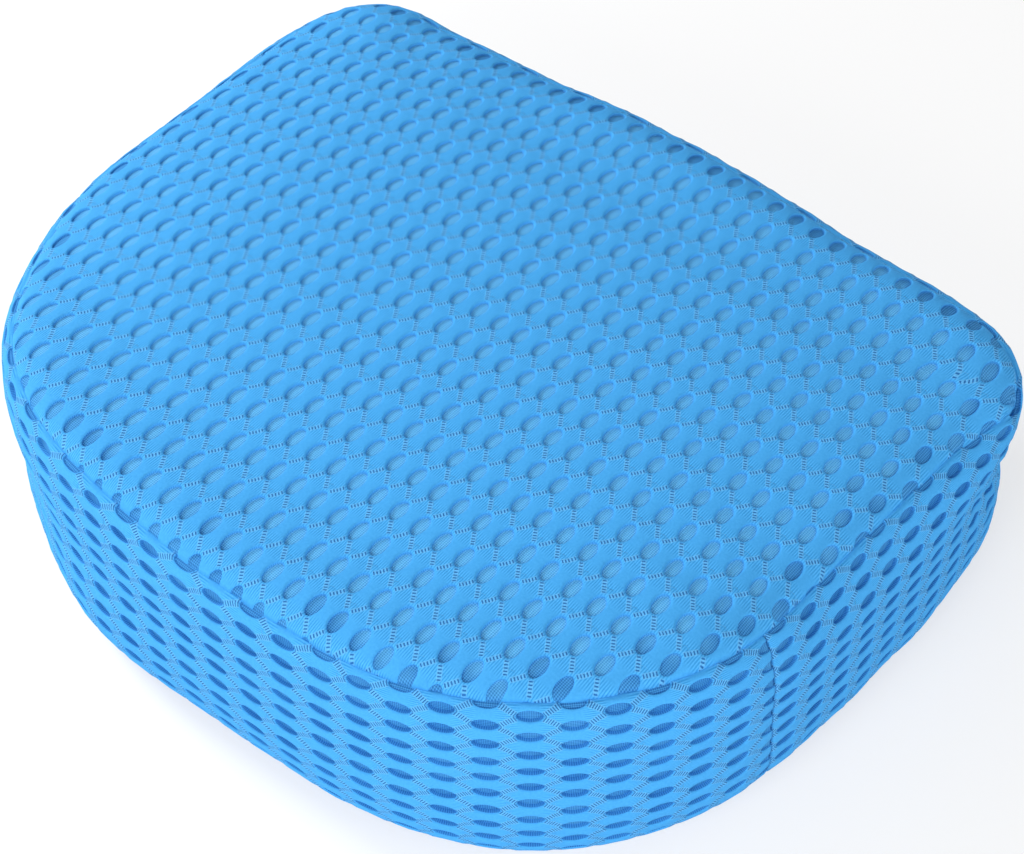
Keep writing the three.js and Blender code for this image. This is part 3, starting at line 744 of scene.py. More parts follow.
def lay_face(face, lattice, seam_reach, moved_out, out, across):
    """A function that lays the top or the underside: outwards of the seam the cloth turns in."""
    def place(flat):
        xy = flat + lattice
        index, outside = nearest_station(xy)
        outside = outside - seam_reach[index]
        gap = np.maximum(-outside, 0)
        inner = xy - outward[index] * np.maximum(outside, 0)[:, None]
        moved = moved_out[index] * hump(gap, 0, LIP_REACH)
        places, normals = face.at(inner + outward[index] * moved[:, None])
        places = places - out[index] * np.maximum(outside, 0)[:, None]
        places = places - across[index] * seam_part(gap)
        wave = WAVE * np.sin(0.11 * xy[:, 0] + 0.17 * xy[:, 1])
        free = FREE_SHADE_MOST * (1 - rise(gap + wave, *FREE_SHADE_MARGIN))
        return places, lean(normals, out[index], gap), seam_sink(gap), seam_squash(gap), free
    return place


top_panel, bm = knit_cloth("top_panel", (-190, 190), (-150, 150), TOP_POCKET)
seam = plan - np.array(TOP_LATTICE)
coarse = np.arange(0, STATIONS, 3)
cut_off_far(bm, seam)
cut_round(bm, (seam - SEAM_EDGE * outward)[coarse], True)
cut_round(bm, seam[coarse], True)
cut_round(bm, (seam + ALLOWANCE * outward)[coarse], False)
lay(top_panel, bm, lay_face(top_face, TOP_LATTICE, NOTHING, seam_out, top_out, top_across))
print("top panel:", len(top_panel.data.polygons), "faces")

# %% [markdown]
# ## Underside
# The underside is hidden on the photograph. It is taken to be the same cloth, cut to the bottom seam and
# laid flat.

# %% Underside
UNDER_LATTICE = (1.0, 4.0)  # where an eyelet lies on the underside, in mm
bottom_panel, bm = knit_cloth("bottom_panel", (-200, 200), (-160, 160), TOP_POCKET)
bottom_seam = plan + bottom_reach[:, None] * outward - np.array(UNDER_LATTICE)
cut_off_far(bm, bottom_seam)
cut_round(bm, bottom_seam[coarse], True)
cut_round(bm, (bottom_seam + ALLOWANCE * outward)[coarse], False)
bmesh.ops.reverse_faces(bm, faces=bm.faces)
lay(bottom_panel, bm, lay_face(under_face, UNDER_LATTICE, bottom_reach, NOTHING, under_out, under_across))
print("bottom panel:", len(bottom_panel.data.polygons), "faces")

# %% [markdown]
# ## Bands
# Two strips stand round the block: one along the bowed front, one round the sides and the back. Their
# eyelets lie on their sides, because the strip is cut across the cloth, and it is stretched along the seam.
# The back has a slot for the zip, whose place comes from the bar tacks of the part.

# %% Place the columns and the slot
CORNER_SEAM = 328.0  # mm along the top seam from the middle of the back
# where the columns of eyelets lie along the top seam: (mm along the seam, column)
FRONT_COLUMNS = np.array([(328, -1.05), (343.2, 0), (481.1, 10), (619.6, 19), (760, 28.7)])
REAR_COLUMNS = np.array([(-328, -46.05), (321.8, 0), (328, 0.44)])
BAND_DRAW = 0.91  # the bands are stretched along the seam, which draws their rows together
FIRST_ROW = 0.4  # mm from the seam down to a row of eyelets


def flat_depth(depth):
    """Place across the flat band of a distance down the laid band."""
    return (depth - FIRST_ROW) / BAND_DRAW


def depth_at(along_seam, z):
    """How far down the cloth a height lies."""
    heights_down = sections[int(along_seam / STEP) % STATIONS, :, 2]
    return np.interp(-z, -heights_down, np.linspace(0, BAND_HEIGHT, ROWS))


tack_low, tack_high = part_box("zip_bartack_right")
SLOT_END = tack_low[0] / MM
slot_places = np.linspace(-SLOT_END, SLOT_END, 9)
SLOT_TOP = min(depth_at(place, tack_high[2] / MM) for place in slot_places)
SLOT_BOTTOM = max(depth_at(place, tack_low[2] / MM) for place in slot_places)
SLOT_MIDDLE = (SLOT_TOP + SLOT_BOTTOM) / 2
print("slot of the zip:", round(2 * SLOT_END), "x", round(SLOT_BOTTOM - SLOT_TOP, 1), "mm")

# %% [markdown]
# ## Hem, press and folds
# The hem of the slot is turned in behind it. A bar tack presses the band in at each end of the slot, so
# that the pull tab passes over it, and at the back corners, where the band is eased round, it throws small
# folds.

# %% Dents of the bands
END_PRESS = 2.1  # mm, how far a bar tack presses the band in
FOLD, FOLD_PITCH = 0.9, 9.0  # mm, height and pitch of the folds
FOLD_PLACE = 190  # mm along the seam from the middle of the back


def turn_in_slot(seam, depth):
    """Places moved to the edge of the slot, how far they are turned in, and their distance to the slot."""
    end_gap = SLOT_END - np.abs(seam)
    side_gap = np.minimum(depth - SLOT_TOP, SLOT_BOTTOM - depth)
    inner = np.minimum(end_gap, side_gap)
    to_end = (inner > 0) & (side_gap > end_gap)
    to_side = (inner > 0) & (side_gap <= end_gap)
    edge = np.where(depth < SLOT_MIDDLE, SLOT_TOP, SLOT_BOTTOM)
    off = np.where(inner > 0, 0, np.hypot(np.minimum(end_gap, 0), np.minimum(side_gap, 0)))
    seam = np.where(to_end, np.sign(seam) * SLOT_END, seam)
    return seam, np.where(to_side, edge, depth), np.maximum(inner, 0), off


def end_press(seam, depth):
    """How far the band is pressed in near the two ends of the slot."""
    return END_PRESS * hump(np.abs(seam), SLOT_END, 11) * hump(depth, SLOT_MIDDLE, 16)


def folds(seam, depth):
    """Height of the folds, which are smaller on the left."""
    gathered = hump(seam, FOLD_PLACE, 20) + 0.6 * hump(seam, -FOLD_PLACE, 18)
    slant = seam + 0.35 * depth
    return FOLD * gathered * hump(depth, 34, 18) * np.sin(2 * math.pi * slant / FOLD_PITCH)


print("folds of", FOLD, "mm at the back corners, press of", END_PRESS, "mm at the ends of the slot")

# %% [markdown]
# ## Strip on the sides
# Flat places turn into millimetres along the top seam and millimetres down the side. At both edges the
# strip dives into the groove of the seam, and what lies beyond an edge or an end is turned in.

# %% Lay a band
CORNER_SHARE = 0.4  # of a seam's depth, at the corner seams
HEM_DIP = 0.6  # mm, how deep the hem of the slot dips
FAR_OFF = 99.0  # mm, for a band without a slot


def lay_band(columns, slot):
    """A function that lays a band on the sides."""
    first, last = columns[0, 0], columns[-1, 0]
    pitch = (columns[1, 0] - columns[0, 0]) / (columns[1, 1] - columns[0, 1])

    def place(flat):
        depth, column = FIRST_ROW + flat[:, 0] * BAND_DRAW, flat[:, 1] / PITCH_ALONG
        seam = np.interp(column, columns[:, 1], columns[:, 0])
        turned_in = np.maximum(np.maximum(columns[0, 1] - column, column - columns[-1, 1]), 0) * pitch
        from_slot = np.full(len(flat), FAR_OFF)
        if slot:
            seam, depth, hem, from_slot = turn_in_slot(seam, depth)
            turned_in = turned_in + hem
        from_end = np.minimum(np.abs(seam - first), np.abs(seam - last))
        seam = np.clip(seam, first + CORNER_HALF_GAP, last - CORNER_HALF_GAP)
        places, normals = side_at(seam, depth)
        index = np.round(seam / STEP).astype(int) % STATIONS
        edges = ((top_out, top_across, depth), (under_out, under_across, BAND_HEIGHT - depth))
        for out, across, inside in edges:
            gap = np.maximum(inside, 0)
            normals = lean(normals, out[index], gap)
            places = places - out[index] * np.maximum(-inside, 0)[:, None] + across[index] * seam_part(gap)
        places = places - normals * turned_in[:, None]
        from_edge = np.maximum(np.minimum(depth, BAND_HEIGHT - depth), 0)
        sink = seam_sink(from_edge) + CORNER_SHARE * seam_sink(from_end) - HEM_DIP * hump(from_slot, 0, 1.3)
        sink = sink - end_press(seam, depth) + folds(seam, depth)
        squash = seam_squash(from_edge) * seam_squash(from_end) * seam_squash(from_slot)
        # painted shade: the inner knit of the bands hangs free nearly everywhere, so their eyelets get most
        # of the dark tone, a little uneven
        free = 0.85 + 0.15 * np.sin(0.09 * seam) * np.sin(0.13 * depth)
        return places, normals, sink, squash, free
    return place


print("bands", round(BAND_HEIGHT, 1), "mm high, cut", round(BAND_HEIGHT / BAND_DRAW, 1), "mm wide")

# %% [markdown]
# ## Two strips
# A strip is cut straight on all four sides. The slot is cut as a window with a hem, which is turned in
# behind it.

# %% Cut the bands
HEM = 2.5  # mm of cloth turned in round the slot of the zip
SPARE = 10  # mm of cloth round the strip before it is cut


def sides_of(across, along):
    """A place on each side of a rectangle in the flat cloth, and the direction out of it there."""
    return [((across[0], 0), (-1, 0)), ((across[1], 0), (1, 0)),
            ((0, along[0]), (0, -1)), ((0, along[1]), (0, 1))]


def cut_slot(bm, columns):
    """Cut the window of the slot and the edge that its hem is turned in at."""
    top, bottom = flat_depth(SLOT_TOP), flat_depth(SLOT_BOTTOM)
    left, right = np.interp([-SLOT_END, SLOT_END], columns[:, 0], columns[:, 1]) * PITCH_ALONG
    for hem in (0, HEM):
        for place, direction in sides_of((top + hem, bottom - hem), (left + hem, right - hem)):
            cut(bm, place, direction, True)
    centres = [f.calc_center_median() for f in bm.faces]
    window = [f for f, centre in zip(bm.faces, centres)
              if top + HEM < centre.x < bottom - HEM and left + HEM < centre.y < right - HEM]
    bmesh.ops.delete(bm, geom=window, context="FACES")


def make_band(name, columns, slot):
    """Knit, cut and lay one band."""
    low, high = columns[0, 1] * PITCH_ALONG, columns[-1, 1] * PITCH_ALONG
    upper, lower = flat_depth(0), flat_depth(BAND_HEIGHT)
    cloth, bm = knit_cloth(name, (upper - SPARE, lower + SPARE), (low - SPARE, high + SPARE), BAND_POCKET)
    for place, direction in sides_of((upper, lower), (low, high)):
        for shift, keep_all in ((-SEAM_EDGE, True), (0, True), (ALLOWANCE, False)):
            cut(bm, np.add(place, np.multiply(shift, direction)), direction, keep_all)
    if slot:
        cut_slot(bm, columns)
    bmesh.ops.reverse_faces(bm, faces=bm.faces)
    lay(cloth, bm, lay_band(columns, slot))
    print(name, len(cloth.data.polygons), "faces")
    return cloth


front_band = make_band("front_band", FRONT_COLUMNS, False)
rear_band = make_band("rear_band", REAR_COLUMNS, True)

# %% [markdown]
# ## Shaders
# Colours are written as sRGB and turned into the linear values that Cycles works with. Patterns are built
# from small nodes: waves, ramps and blends. They read the flat cloth in millimetres, so that a pitch is a
# real size.

# %% Shader helpers
COLOUR_A, COLOUR_B, COLOUR_OUT = 6, 7, 2  # sockets of a Mix node that mixes colours
SMOOTH = {"interpolation_type": "SMOOTHSTEP"}


def linear(hex_colour):
    """A linear colour from sRGB hex."""
    channels = [int(hex_colour[i:i + 2], 16) / 255 for i in (1, 3, 5)]
    return (*[c / 12.92 if c <= 0.04045 else ((c + 0.055) / 1.055) ** 2.4 for c in channels], 1)


def add_node(tree, kind, inputs=(), out=0, **settings):
    """One output of a new node; an input that is a socket is linked, any other value is set."""
    made = tree.nodes.new("ShaderNode" + kind)
    for key, value in settings.items():
        setattr(made, key, value)
    for key, value in inputs.items() if isinstance(inputs, dict) else enumerate(inputs):
        if isinstance(value, bpy.types.NodeSocket):
            tree.links.new(value, made.inputs[key])
        else:
            made.inputs[key].default_value = value
    return made.outputs[out]


def new_material(name, inputs):
    """A material with its tree of nodes and its shader, on which some inputs are set."""
    material = bpy.data.materials.new(name)
    material.use_nodes = True
    shader = material.node_tree.nodes["Principled BSDF"]
    for key, value in inputs.items():
        shader.inputs[key].default_value = value
    return material, material.node_tree, shader


print("a mid blue in linear values:", [round(v, 3) for v in linear("#53b0ef")])

# %% [markdown]
# ## Patterns
# Cloth is drawn from three simple patterns: waves that repeat at a pitch, sums of them with weights, and
# two shades that the waves mix. All of them start from the place in the flat cloth.

# %% Pattern helpers
def cloth_axes(tree):
    """Millimetres across and along the flat cloth."""
    place = add_node(tree, "UVMap", uv_map="cloth")
    mm = add_node(tree, "VectorMath", {0: place, "Scale": 1 / MM}, operation="SCALE")
    axes = add_node(tree, "SeparateXYZ", (mm,)).node.outputs
    return axes[0], axes[1]


def stripes(tree, value, pitch):
    """A wave from -1 to 1 that repeats at a pitch."""
    turns = add_node(tree, "Math", (value, 2 * math.pi / pitch), operation="MULTIPLY")
    return add_node(tree, "Math", (turns,), operation="SINE")


def weighted_sum(tree, *parts):
    """Sum of values, each times its weight."""
    total = 0.0
    for value, weight in parts:
        total = add_node(tree, "Math", (value, weight, total), operation="MULTIPLY_ADD")
    return total


def two_shades(tree, wave, span, dark, light):
    """A dark and a light tone mixed by a wave; each has a colour on the foam and a darker one off it, painted
    shade of the hollow, mixed in by the attribute.
    """
    node = partial(add_node, tree)
    free = node("Attribute", out="Fac", attribute_name="free")
    share = node("MapRange", (wave, -span, span), **SMOOTH)
    shades = []
    for on_foam, off_foam_shaded in (dark, light):
        pair = {0: free, COLOUR_A: linear(on_foam), COLOUR_B: linear(off_foam_shaded)}
        shades.append(node("Mix", pair, out=COLOUR_OUT, data_type="RGBA"))
    return node("Mix", {0: share, COLOUR_A: shades[0], COLOUR_B: shades[1]}, out=COLOUR_OUT, data_type="RGBA")


MATT = {"Roughness": 0.85, "Specular IOR Level": 0.1}  # crimped yarn scatters light and hardly shines
print("matt yarn:", MATT)

# %% [markdown]
# ## Outer knit
# Close up, the face of air mesh is not plain: a ladder of tiny holes runs from each eyelet to the next,
# fine ribs fill the corners between ladders, and loops of yarn give it a grain. All of it is far smaller
# than an eyelet, so it is drawn by the shader. On the bands the stretch opens the ladders wider.

# %% Knitted face
RIB_PITCH = 0.87  # mm between two ribs of the knit
LOOP_WIDTH, LOOP_LENGTH = 0.43, 0.55  # mm
FUZZ = 0.9  # mm: the loops are too fine to show in the render, so this coarser grain stands for them
RIB_FADE, RIB_FULL = 5.0, 2.0  # mm from the middle between two rows, where the ribs end and are full
SOFT = 0.3  # mm, over which the end of a ladder fades


def knitted_face(name, ladder, pitch, half_width):
    """Knit with a ladder of small holes from each eyelet to the next, and ribs where the ladders meet."""
    material, tree, shader = new_material(name, MATT)
    node = partial(add_node, tree)
    across, along_cloth = cloth_axes(tree)
    x = node("Math", (across, PITCH_ACROSS / 2), operation="PINGPONG")
    y = node("Math", (along_cloth, PITCH_ALONG), operation="PINGPONG")
    x = node("Math", (x, PITCH_ACROSS / 4), operation="SUBTRACT")
    y = node("Math", (y, PITCH_ALONG / 2), operation="SUBTRACT")
    way, half = ladder.normalized(), ladder.length / 2
    run = weighted_sum(tree, (x, way.x), (y, way.y))
    aside = node("Math", (weighted_sum(tree, (x, way.y), (y, -way.x)),), operation="ABSOLUTE")
    from_middle = node("Math", (run,), operation="ABSOLUTE")
    on_ladder = node("MapRange", (from_middle, half + SOFT, half - SOFT), **SMOOTH)
    turns = node("Math", (run, 2 * math.pi / pitch), operation="MULTIPLY")
    rungs = node("MapRange", (node("Math", (turns,), operation="COSINE"), -0.3, 0.8), **SMOOTH)
    hole = node("MapRange", (aside, half_width + 0.2, half_width - 0.2), **SMOOTH)
    hole = node("Math", (rungs, hole), operation="MULTIPLY")
    hole = node("Math", (hole, on_ladder), operation="MULTIPLY")
    braid = node("MapRange", (aside, half_width + 0.45, half_width + 0.15), **SMOOTH)
    braid = node("Math", (braid, on_ladder), operation="MULTIPLY")
    rib_zone = node("MapRange", (node("Math", (y,), operation="ABSOLUTE"), RIB_FADE, RIB_FULL), **SMOOTH)
    ribs = node("Math", (stripes(tree, across, RIB_PITCH), rib_zone), operation="MULTIPLY")
    loops = stripes(tree, across, LOOP_WIDTH), stripes(tree, along_cloth, LOOP_LENGTH)
    loops = node("Math", loops, operation="MULTIPLY")
    cloth = node("UVMap", uv_map="cloth")
    fuzz = node("TexNoise", {"Vector": cloth, "Scale": 1 / (FUZZ * MM), "Detail": 2.0})
    tone = weighted_sum(tree, (loops, 0.1), (fuzz, 0.9), (ribs, 0.75))
    tone = node("MapRange", (tone, -0.7, 1.6), **SMOOTH)
    # painted shade: the ladder holes are tinted dark blue for the shade inside them
    braid_highlight, hole_shade = weighted_sum(tree, (braid, 0.6)), weighted_sum(tree, (hole, 0.9))
    # painted highlight: the raised braid beside each ladder gets a lighter tint, where it would catch the
    # light
    colour = linear("#318ed3")
    for share, tint in ((tone, "#53b0ef"), (braid_highlight, "#6dbbf1"), (hole_shade, "#1d64ab")):
        pair = {0: share, COLOUR_A: colour, COLOUR_B: linear(tint)}
        colour = node("Mix", pair, out=COLOUR_OUT, data_type="RGBA")
    tree.links.new(colour, shader.inputs["Base Color"])
    height = weighted_sum(tree, (braid, 0.12), (hole, -0.35), (ribs, 0.05), (loops, 0.02), (fuzz, 0.06))
    bump = node("Bump", {"Strength": 0.8, "Distance": MM, "Height": height})
    tree.links.new(bump, shader.inputs["Normal"])
    return material


# A soft, grained blue; the ladders break it up into lozenges between the eyelets.
knit = knitted_face("polyester air mesh, knitted face", Vector((2.9, 4.4, 0)), 1.1, 0.62)
# The same blue with longer and wider ladders, which read as open slits on the bands.
stretched_knit = knitted_face("polyester air mesh, stretched", Vector((3.4, 5.2, 0)), 0.95, 1.05)
print("knit: ribs every", RIB_PITCH, "mm")

# %% [markdown]
# ## Inside an eyelet
# Between the two knits of the mesh stand fine yarns, seen on the wall of each eyelet, and at its bottom
# lies the inner knit. Where it rests on the foam it is pale, and where it hangs free over a hollow it is
# painted dark, as painted shade: both tones follow the attribute.

# %% Spacer yarns and inner knit
YARN_PITCH = 0.6  # mm, drawn about three times as coarse as real spacer yarns, so that they show
INNER_PITCH = (0.8, 0.75)  # mm across and along, drawn coarser than the real inner knit, so that it shows
# The wall of an eyelet: fine upright lines, in a tone a little darker than the face round it, as painted
# shade in the recess.
yarns, tree, shader = new_material("polyester spacer yarns", {**MATT, "Roughness": 0.8})
across, along_cloth = cloth_axes(tree)
lines = stripes(tree, across, YARN_PITCH)
colour = two_shades(tree, lines, 1.0, ("#348bcd", "#226ab1"), ("#53a7e3", "#408fd1"))
tree.links.new(colour, shader.inputs["Base Color"])

# The bottom of an eyelet: a fine net, pale on the foam and painted deep blue over a hollow, as painted shade.
lining, tree, shader = new_material("polyester inner knit", MATT)
across, along_cloth = cloth_axes(tree)
lines = stripes(tree, across, INNER_PITCH[0]), stripes(tree, along_cloth, INNER_PITCH[1])
net = weighted_sum(tree, (lines[1], 0.8), (lines[0], 1.0))
colour = two_shades(tree, net, 1.6, ("#449cd8", "#1a5ca0"), ("#71c0f0", "#3d8fd3"))
tree.links.new(colour, shader.inputs["Base Color"])
bump = add_node(tree, "Bump", {"Strength": 0.6, "Distance": 0.08 * MM, "Height": net})
tree.links.new(bump, shader.inputs["Normal"])
print("materials:", yarns.name, "and", lining.name)

# %% [markdown]
# ## Pieces of the cover
# Each panel gets its three materials, rides on the cushion and stands for its solid. The size that the
# top and the underside were cut to, with the allowance, is printed.

def plan_cut(seam_reach):
    """Width, length and area of the flat cut of the top or the underside, with its allowance, in metres."""
    line = (plan + (seam_reach + ALLOWANCE)[:, None] * outward) * MM
    ahead = np.roll(line, -1, axis=0)
    return np.ptp(line, axis=0), abs((line[:, 0] * ahead[:, 1] - line[:, 1] * ahead[:, 0]).sum()) / 2


for panel_piece in (top_panel, bottom_panel, front_band, rear_band):
    face = stretched_knit if panel_piece in (front_band, rear_band) else knit
    for material in (face, yarns, lining):
        panel_piece.data.materials.append(material)
    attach(panel_piece, "cushion")
for panel_piece, seam_reach in ((top_panel, NOTHING), (bottom_panel, bottom_reach)):
    size, area = plan_cut(seam_reach)
    print(panel_piece.name, "cut from", size.round(3), "m,", round(area, 4), "square metres")
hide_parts("top_panel")
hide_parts("bottom_panel")
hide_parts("front_band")
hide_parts("rear_band")

# %% [markdown]
# ## Foam core
# The core is open-cell foam, a little smaller than the inside of the cover. It only shows through the slot,
# so a plain pale colour does. A Boolean cuts the pocket behind the zip, where the slider runs.

# %% Foam
FOAM_PLAY = 2.5  # mm between the foam and the inside of the cover
POCKET_PLACE = (0, 165, 63)  # mm, behind the zip
POCKET_SIZE = (2 * SLOT_END + 20, 60, 40)  # mm
# A warm, pale matt block that sets the blue off where the slot shows it.
foam = new_material("polyurethane foam", {"Base Color": linear("#e6e2d6")})[0]
place_points(block.data, mesh_points(block.data) - point_normals(block.data) * (COVER + FOAM_PLAY))


def draw_box(centre, size):
    """A box in bmesh."""
    bm = bmesh.new()
    bmesh.ops.create_cube(bm, size=1, matrix=Matrix.Translation(centre) @ Matrix.Diagonal((*size, 1)))
    return bm


pocket = add_drawn("pocket", draw_box(np.array(POCKET_PLACE) * MM, np.array(POCKET_SIZE) * MM))
cut_out = block.modifiers.new("pocket", "BOOLEAN")
cut_out.object = pocket
cut_out.operation = "DIFFERENCE"
apply_modifiers(block)
bpy.data.objects.remove(pocket)
block.data.materials.append(foam)
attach(block, "cushion")
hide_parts("foam_core")
print("foam:", len(block.data.polygons), "faces")

# %% [markdown]
# ## Sewing thread
# The thread of each seam lies deep between the two cloths, where it shows as the dark line of the seam. A
# poly curve with a round bevel follows the seam and is turned into a mesh.

# %% Seam threads
THREAD = 0.15  # mm, radius
THREAD_DEPTH = 2.8  # mm, down between the two cloths
CORNER_POINTS, CORNER_START = 60, 1.5  # points of a corner seam, and mm from its ends to the other seams
# Twisted filament: smoother than the knit, so that stitches catch a little light.
FIBRE = {"Base Color": linear("#2e86dc"), "Roughness": 0.6}
thread_fibre = new_material("polyester sewing thread", FIBRE)[0]


def finish_piece(made, material, body, slot, *nodes):
    """Material, body and the solids that a piece stands for; slot is not used."""
    made.data.materials.append(material)
    for polygon in made.data.polygons:
        polygon.use_smooth = True
    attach(made, body)
    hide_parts(*nodes)


def lay_thread(name, points, closed):
    """A round thread along a line of points."""
    line = bpy.data.curves.new(name, "CURVE")
    line.dimensions = "3D"
    spline = line.splines.new("POLY")
    spline.points.add(len(points) - 1)
    spline.points.foreach_set("co", np.hstack([points * MM, np.ones((len(points), 1))]).ravel())
    spline.use_cyclic_u = closed
    line.bevel_depth = THREAD * MM
    line.bevel_resolution = 1
    line.use_fill_caps = True
    curve = add_object(name + "_line", line)
    made = add_object(name, baked(curve))
    bpy.data.objects.remove(curve)
    finish_piece(made, thread_fibre, "cushion", "thread", name)


lay_thread("top_seam_thread", top_edge - top_out * THREAD_DEPTH, True)
lay_thread("bottom_seam_thread", under_edge - under_out * THREAD_DEPTH, True)
for name, place in (("right", CORNER_SEAM), ("left", -CORNER_SEAM)):
    down_the_side = np.linspace(CORNER_START, BAND_HEIGHT - CORNER_START, CORNER_POINTS)
    places, normals = side_at(np.full(CORNER_POINTS, place), down_the_side)
    lay_thread("corner_seam_thread_" + name, places - normals * THREAD_DEPTH, False)
print("threads", THREAD_DEPTH, "mm deep")

# %% [markdown]
# ## Zip tapes
# Two woven tapes lie behind the slot. Each is a thin box with rounded edges, and a fine slanting wave in
# its shader gives the twill of the weave.

# %% Zip tapes
TWILL = 0.8  # mm, drawn about twice as coarse as a real tape's weave, so that it shows
# Woven filament: a flat, slightly darker strip with fine slanting lines.
woven, tree, shader = new_material("woven polyester tape", {"Roughness": 0.85})
node = partial(add_node, tree)
axes = node("SeparateXYZ", (node("TexCoord", out="Object"),)).node.outputs
wave = stripes(tree, node("Math", (axes[2], axes[0]), operation="ADD"), TWILL * MM)
pair = {0: node("MapRange", (wave, -1, 1)), COLOUR_A: linear("#2c7dd2"), COLOUR_B: linear("#439bef")}
tree.links.new(node("Mix", pair, out=COLOUR_OUT, data_type="RGBA"), shader.inputs["Base Color"])
bump = node("Bump", {"Strength": 0.5, "Distance": 0.2 * MM, "Height": wave})
tree.links.new(bump, shader.inputs["Normal"])


def box_of(solid):
    """Centre and size of a solid."""
    low, high = (np.array(corner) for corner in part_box(solid))
    return (low + high) / 2, high - low


def rounded_box(solid, radius):
    """A box in the place of a solid, with rounded edges."""
    bm = draw_box(*box_of(solid))
    rounding = {"offset": radius * MM, "affect": "EDGES", "segments": 3, "profile": 0.5, "material": -1}
    bmesh.ops.bevel(bm, geom=bm.edges[:], **rounding)
    return add_drawn(solid, bm)


for name in ("zip_tape_upper", "zip_tape_lower"):
    finish_piece(rounded_box(name, 0.3), woven, "cushion", "zip_tape", name)
print("tapes in mm:", (box_of("zip_tape_upper")[1] / MM).round(1))

# %% [markdown]
# ## Zip coils
# On each tape sits a coil of nylon loops. A coil could be a spiral curve, but from outside only the row of
# loops shows, so one drawn-out ball is repeated by an Array modifier. A stop at each end keeps the slider
# on.

# %% Coils and stops
COIL_PITCH = 1.25  # mm between two loops of the coil
LOOP, LOOP_START = 1.05, 0.6  # mm, width of a loop, and from the end of the coil to its first one
# Smooth monofilament: a row of small highlights.
nylon = new_material("nylon zip coil", {"Base Color": linear("#348be3"), "Roughness": 0.4})[0]
for name in ("zip_coil_upper", "zip_coil_lower"):
    centre, size = box_of(name)
    bm = bmesh.new()
    bmesh.ops.create_uvsphere(bm, u_segments=8, v_segments=6, radius=0.5)
    bmesh.ops.scale(bm, vec=(LOOP * MM, size[1], size[2]), verts=bm.verts)
    bmesh.ops.translate(bm, vec=(-size[0] / 2 + LOOP_START * MM, 0, 0), verts=bm.verts)
    bmesh.ops.translate(bm, vec=Vector(centre), verts=bm.verts)
    coil = add_drawn(name, bm)
    repeat(coil, (COIL_PITCH * MM, 0, 0), int((size[0] / MM - 2 * LOOP_START) / COIL_PITCH) + 1)
    apply_modifiers(coil)
    finish_piece(coil, nylon, "cushion", "zip_nylon", name)
for name in ("zip_stop_right", "zip_stop_left"):
    finish_piece(rounded_box(name, 0.5), nylon, "cushion", "zip_nylon", name)
print("zip coils:", len(coil.data.polygons), "faces each")

# %% [markdown]
# ## Stitches
# Two rows of stitches hold the tapes to the band, and a dense bar tack locks each end of the slot. Each
# stitch is a small drawn-out ball of thread that lies on the cloth.

# %% Stitches and bar tacks
STITCH, STITCH_PITCH = 3.2, 4.0  # mm, length of a stitch, and from one to the next
STITCH_INSET, STITCH_UP = 2.5, 0.35  # mm from the edge of the slot, and above the cloth
TACK, TACK_STITCHES = 2.6, 13  # mm, length of a stitch of a bar tack, and how many it has
TACK_INSET, TACK_UP = 1.4, 0.3  # mm from the end of the slot, and above the cloth
STITCH_WIDTH = 0.8  # mm


def sew(name, places, length):
    """Short stitches, each a small drawn-out ball of thread."""
    bm = bmesh.new()
    shape = Matrix.Diagonal((length * MM, STITCH_WIDTH * MM, STITCH_WIDTH * MM, 1))
    for place in places:
        stand = Matrix.Translation(place * MM) @ shape
        bmesh.ops.create_uvsphere(bm, u_segments=8, v_segments=5, radius=0.5, matrix=stand)
    finish_piece(add_drawn(name, bm), thread_fibre, "cushion", "thread", name)


for side, depth in (("upper", SLOT_TOP - STITCH_INSET), ("lower", SLOT_BOTTOM + STITCH_INSET)):
    spots = np.arange(-SLOT_END + 1, SLOT_END, STITCH_PITCH)
    places, normals = side_at(spots, np.full(len(spots), depth))
    raised = (STITCH_UP - end_press(spots, depth))[:, None]
    sew("zip_stitch_" + side, places + normals * raised, STITCH)
for side, end in (("right", SLOT_END + TACK_INSET), ("left", -SLOT_END - TACK_INSET)):
    spots = np.linspace(SLOT_TOP, SLOT_BOTTOM, TACK_STITCHES)
    places, normals = side_at(np.full(TACK_STITCHES, end), spots)
    raised = (TACK_UP - end_press(end, spots))[:, None]
    sew("zip_bartack_" + side, places + normals * raised, TACK)
print("stitches every", STITCH_PITCH, "mm")

# %% [markdown]
# ## Slider
# The slider is die-cast and plated. Its solid has the right shape already, so it is kept: the points are
# merged and a Bevel modifier softens the edges, which catch the light.

# %% Slider and pull tab
EDGE_RADIUS = 0.22  # mm
METAL = {"Base Color": linear("#a9adb2"), "Metallic": 1, "Roughness": 0.35}
# Satin metal: grey, with soft bright edges.
die_cast = new_material("die-cast zinc, plated", METAL)[0]
for name, body in (("zip_slider", "slider"), ("zip_pull_tab", "pull_tab")):
    bm = bmesh.new()
    bm.from_mesh(frame["nodes"][name].data)
    bmesh.ops.remove_doubles(bm, verts=bm.verts, dist=0.001 * MM)
    bmesh.ops.dissolve_limit(bm, angle_limit=0.02, verts=bm.verts, edges=bm.edges)
    made = add_drawn(name + "_cast", bm)
    edges = made.modifiers.new("soft edges", "BEVEL")
    edges.width = EDGE_RADIUS * MM
    edges.segments = 3
    edges.limit_method = "ANGLE"
    apply_modifiers(made)
    finish_piece(made, die_cast, body, "zip_metal", name)
    made.data.set_sharp_from_angle(angle=math.radians(40))
    print(name, len(made.data.polygons), "faces")

# %% [markdown]
# ## Studio
# White paper and soft light from three sides, as for a product photograph. The key light stands on the
# left, so that the far wall of each eyelet is lit and the near one lies in shade, as on the photograph.

# %% Floor and world
FLOOR_GLOW = 0.55  # share of plain white on the floor, which leaves the shadow soft
WORLD_LIGHT = 0.43
WHITE = (1, 1, 1, 1)


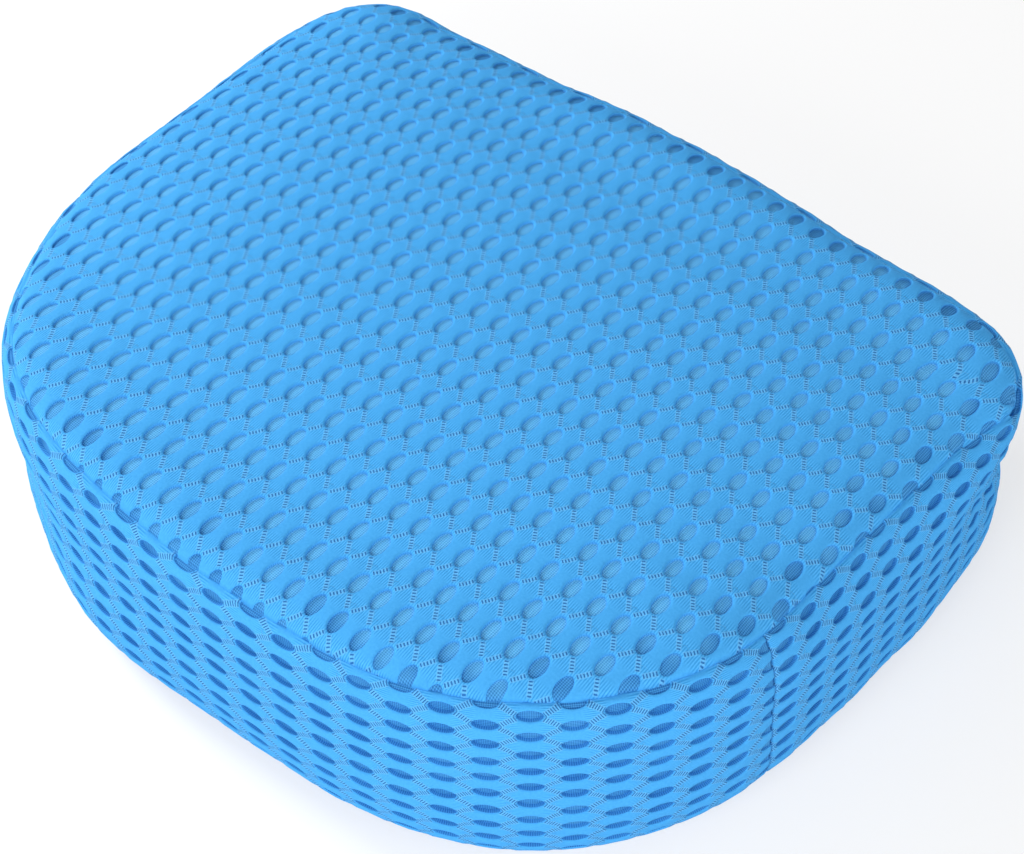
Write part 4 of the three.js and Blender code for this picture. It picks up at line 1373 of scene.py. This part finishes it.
def seen_directly(tree):
    """1 where the camera sees a surface, directly or in metal, and 0 where it only lights another."""
    rays = add_node(tree, "LightPath").node.outputs
    seen = add_node(tree, "Math", (rays["Is Camera Ray"], rays["Is Glossy Ray"]), operation="MAXIMUM")
    return add_node(tree, "Math", (seen, rays["Is Transmission Ray"]), operation="MAXIMUM")


bm = bmesh.new()
bmesh.ops.create_grid(bm, x_segments=1, y_segments=1, size=4)
floor = add_drawn("floor", bm)
# Matt white that fades into the background and keeps the shadow.
paper, tree, shader = new_material("white paper", {"Base Color": linear("#fbfbfb"), "Roughness": 0.9})
glow = add_node(tree, "Emission", {"Color": WHITE, "Strength": 1.0})
share = add_node(tree, "Math", (seen_directly(tree), FLOOR_GLOW), operation="MULTIPLY")
mixed = add_node(tree, "MixShader", (share, shader.outputs[0], glow))
tree.links.new(mixed, tree.nodes["Material Output"].inputs["Surface"])
floor.data.materials.append(paper)

world = bpy.data.worlds.new("studio")
bpy.context.scene.world = world
world.use_nodes = True
tree = world.node_tree
sky = tree.nodes["Background"]
sky.inputs["Color"].default_value = WHITE
strength = (seen_directly(tree), 1 - WORLD_LIGHT, WORLD_LIGHT)
tree.links.new(add_node(tree, "Math", strength, operation="MULTIPLY_ADD"), sky.inputs["Strength"])
print("world light:", WORLD_LIGHT)

# %% [markdown]
# ## Lamps
# Three soft lamps stand round the pillow, each a disk that is turned to its middle. The power of each was set
# so that the colours render about as they are written.

# %% Lamps
AIM = Vector((0, 0, 0.05))  # m
# name, place and size in metres, power in watts
LAMPS = [("key", (-1.1, -0.15, 0.72), 0.4, 13),
         ("front fill", (0.2, -0.85, 0.52), 0.6, 5.5),
         ("right fill", (1.1, 0.0, 0.55), 0.9, 5)]
for name, place, size, power in LAMPS:
    lamp = bpy.data.lights.new(name, "AREA")
    lamp.shape = "DISK"
    lamp.size = size
    lamp.energy = power
    made = add_object(name, lamp)
    made.location = place
    made.rotation_euler = (AIM - Vector(place)).to_track_quat("-Z", "Y").to_euler()
print("lamps:", [name for name, place, size, power in LAMPS])

# %% [markdown]
# ## Camera
# The camera looks down from the front right. Its place was found by fitting corners of the part to the
# photograph, and a lens of 70 mm keeps the sides nearly parallel.

# %% Camera
CAMERA_PLACE, CAMERA_AIM = Vector((0.34931, -0.35439, 0.64877)), Vector((0.02401, 0.00862, 0.05))  # m
CAMERA_ROLL = -1.2763  # degrees
camera = add_object("camera", bpy.data.cameras.new("camera"))
camera.data.sensor_width = 36
camera.data.lens = 69.725
turn = (CAMERA_AIM - CAMERA_PLACE).to_track_quat("-Z", "Y").to_matrix().to_4x4()
roll = Matrix.Rotation(math.radians(CAMERA_ROLL), 4, "Z")
camera.matrix_world = Matrix.Translation(CAMERA_PLACE) @ turn @ roll
bpy.context.scene.camera = camera
bpy.context.scene.view_settings.view_transform = "Standard"
print("camera", round((CAMERA_PLACE - CAMERA_AIM).length, 2), "m from its aim")
